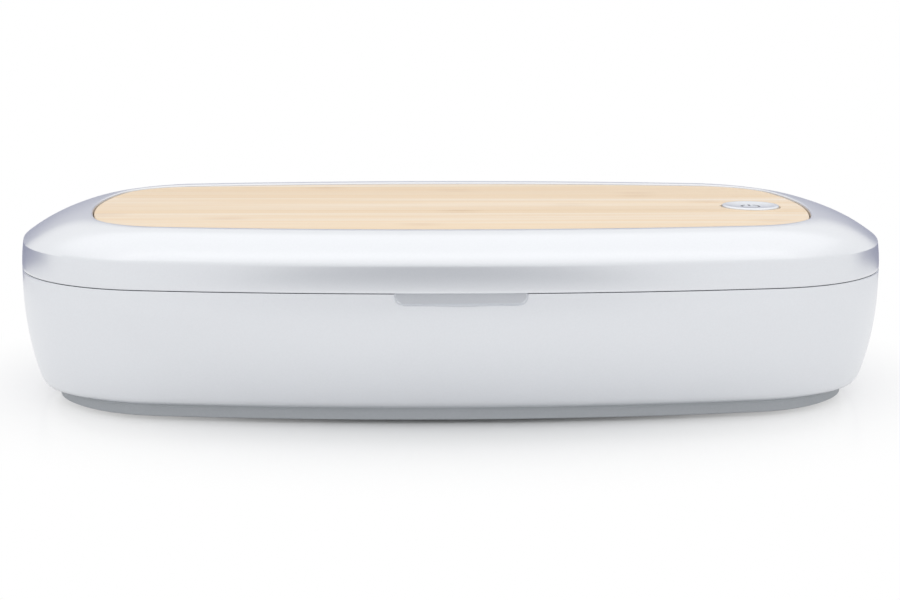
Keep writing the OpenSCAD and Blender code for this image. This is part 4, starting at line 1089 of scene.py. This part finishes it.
FINISHES = {
    # The bottom plate takes the plinth's darker grey, painted shade under the heel
    "bottom_plate": ("plinth", PLINTH_GREY_PAINTED_SHADE),
    "foot_pads": ("foot", RUBBER),
    "bottom_screws": ("screw", ZINC_STEEL),
    "tub_windows": ("window", QUARTZ),
    "base_lamp_board": ("lamp_board", WHITE_BOARD),
    "base_lamps": ("lamp", LAMP_CERAMIC),
    "main_board": ("circuit", GREEN_BOARD),
    "board_parts": ("chip", EPOXY),
    "board_screws": ("screw", ZINC_STEEL),
    "usb_socket": ("steel", NICKEL_STEEL),
    "base_magnets": ("steel", NICKEL_STEEL),
    "lid_sensor": ("chip", EPOXY),
    "hinge_pins": ("steel", NICKEL_STEEL),
    "liner_windows": ("window", QUARTZ),
    "lid_lamp_board": ("lamp_board", WHITE_BOARD),
    "lid_lamps": ("lamp", LAMP_CERAMIC),
    "liner_screws": ("screw", ZINC_STEEL),
    "lid_magnets": ("steel", NICKEL_STEEL),
    "charging_coil": ("coil", COPPER),
    "ferrite_disc": ("ferrite", FERRITE),
    "charge_board": ("circuit", GREEN_BOARD),
    "charge_parts": ("chip", EPOXY),
    "charge_screws": ("screw", ZINC_STEEL),
    "switch_board": ("circuit", GREEN_BOARD),
    "switch_body": ("chip", EPOXY),
    "switch_screws": ("screw", ZINC_STEEL),
    "switch_plunger": ("plunger", ACETAL),
}
for node, (slot, material) in FINISHES.items():
    smooth_copy(node, node + "_finished", material)


# Studio


def seen_white(tree):
    """One for rays that show the surroundings themselves: from the camera, or by a
    reflection or through glass."""
    ray = add(tree, "LightPath").outputs
    through = (ray["Is Glossy Ray"], ray["Is Transmission Ray"])
    mirrored = calc(tree, "MAXIMUM", *through)
    return calc(tree, "MAXIMUM", ray["Is Camera Ray"], mirrored)


def sheet(name, corners, material):
    """One flat face."""
    mesh = bpy.data.meshes.new(name)
    mesh.from_pydata(corners, [], [(0, 1, 2, 3)])
    mesh.materials.append(material)
    return placed(name, mesh)


def studio_floor():
    """A pale glossy tabletop that keeps the shadow and a faint mirror image near the box,
    and runs out into plain white."""
    material, tree, shader = surface("studio_floor", Roughness=0.16, Specular_IOR_Level=0.35)
    shader.inputs["Base Color"].default_value = linear("#F6F6F6")
    output = tree.nodes["Material Output"]
    oval = object_point(tree, (1.0, 1.35, 1.0))
    distance = add(tree, "VectorMath", (oval,), operation="LENGTH")
    near, white_from = 0.045, 0.15
    away = ramp(tree, distance, near, white_from)
    share = calc(tree, "MULTIPLY", away, seen_white(tree))
    white = add(tree, "Emission", ((1, 1, 1, 1), 1.0))
    join(tree, add(tree, "MixShader", (share, shader, white)), output.inputs["Surface"])
    half = 6.0
    corners = [(-half, -half, 0), (half, -half, 0), (half, half, 0), (-half, half, 0)]
    floor = sheet("studio_floor", corners, material)


def reflection_card(name, low, high, half_width, code):
    """A plain card of one even tone that shows only in reflections and through glass. It
    leans between two edges, given by their Y and Z."""
    material = bpy.data.materials.new(name)
    material.use_nodes = True
    tree = material.node_tree
    tree.nodes.remove(tree.nodes["Principled BSDF"])
    glow = add(tree, "Emission", (linear(code), 1.0))
    join(tree, glow, tree.nodes["Material Output"].inputs["Surface"])
    corners = [(-half_width, *low), (half_width, *low), (half_width, *high), (-half_width, *high)]
    card = sheet(name, corners, material)
    card.visible_camera = False
    card.visible_diffuse = False
    card.visible_shadow = False


def softbox(name, place, target, size, power):
    """A rectangular lamp aimed at a point, a little warmer than the fill."""
    lamp = bpy.data.lights.new(name, "AREA")
    lamp.shape = "RECTANGLE"
    lamp.size, lamp.size_y = size
    lamp.energy = power
    lamp.color = (1.0, 0.98, 0.945)
    holder = placed(name, lamp)
    aim = (Vector(target) - Vector(place)).to_track_quat("-Z", "Y")
    holder.matrix_world = Matrix.Translation(place) @ aim.to_matrix().to_4x4()


def white_world(fill, tint):
    """White to the camera, in reflections and through glass, and an even tinted fill for the
    shading."""
    world = bpy.data.worlds.new("studio")
    bpy.context.scene.world = world
    world.use_nodes = True
    tree = world.node_tree
    shade = add(tree, "Background", (tint, fill))
    bright = add(tree, "Background", ((1, 1, 1, 1), 1.0))
    both = add(tree, "MixShader", (seen_white(tree), shade, bright))
    join(tree, both, tree.nodes["World Output"].inputs["Surface"])


def photo_camera():
    """The photograph's camera: place, yaw, pitch and roll as fitted to its outline."""
    place = Vector((-19.1, -463.8, 110.2)) * MM
    yaw, pitch, roll = -0.0405, 0.1892, 0.004
    right = Vector((math.cos(yaw), math.sin(yaw), 0))
    level = Vector((-math.sin(yaw), math.cos(yaw), 0))
    ahead = math.cos(pitch) * level - math.sin(pitch) * Vector((0, 0, 1))
    up = math.sin(pitch) * level + math.cos(pitch) * Vector((0, 0, 1))
    turned_right = math.cos(roll) * right + math.sin(roll) * up
    turned_up = -math.sin(roll) * right + math.cos(roll) * up
    focal_px, picture_px, sensor_mm = 1792.0, 900.0, 36.0
    lens = bpy.data.cameras.new("photo_camera")
    lens.sensor_fit = "HORIZONTAL"
    lens.sensor_width = sensor_mm
    lens.lens = focal_px * sensor_mm / picture_px
    lens.clip_start, lens.clip_end = 0.01, 50.0
    camera = placed("photo_camera", lens)
    axes = Matrix((turned_right, turned_up, -ahead)).transposed()
    camera.matrix_world = Matrix.Translation(place) @ axes.to_4x4()
    bpy.context.scene.camera = camera


studio_floor()
white_world(fill=0.87, tint=(0.97, 0.985, 1.0, 1.0))
softbox("overhead_softbox", place=(0, 0, 1.5), target=(0, 0, 0), size=(3.6, 3.0), power=9.4)
softbox("front_softbox", place=(0, -1.4, 1.5), target=(0, 0, 0.02), size=(3.0, 0.9), power=1.5)
reflection_card("rear_card", (0.14, 0.001), (1.2, 0.31), half_width=1.2, code="#686C92")
reflection_card("front_card", (-0.40, 0.001), (-1.6, 0.5), half_width=0.16, code="#90939A")
photo_camera()
bpy.context.scene.view_settings.view_transform = "Standard"
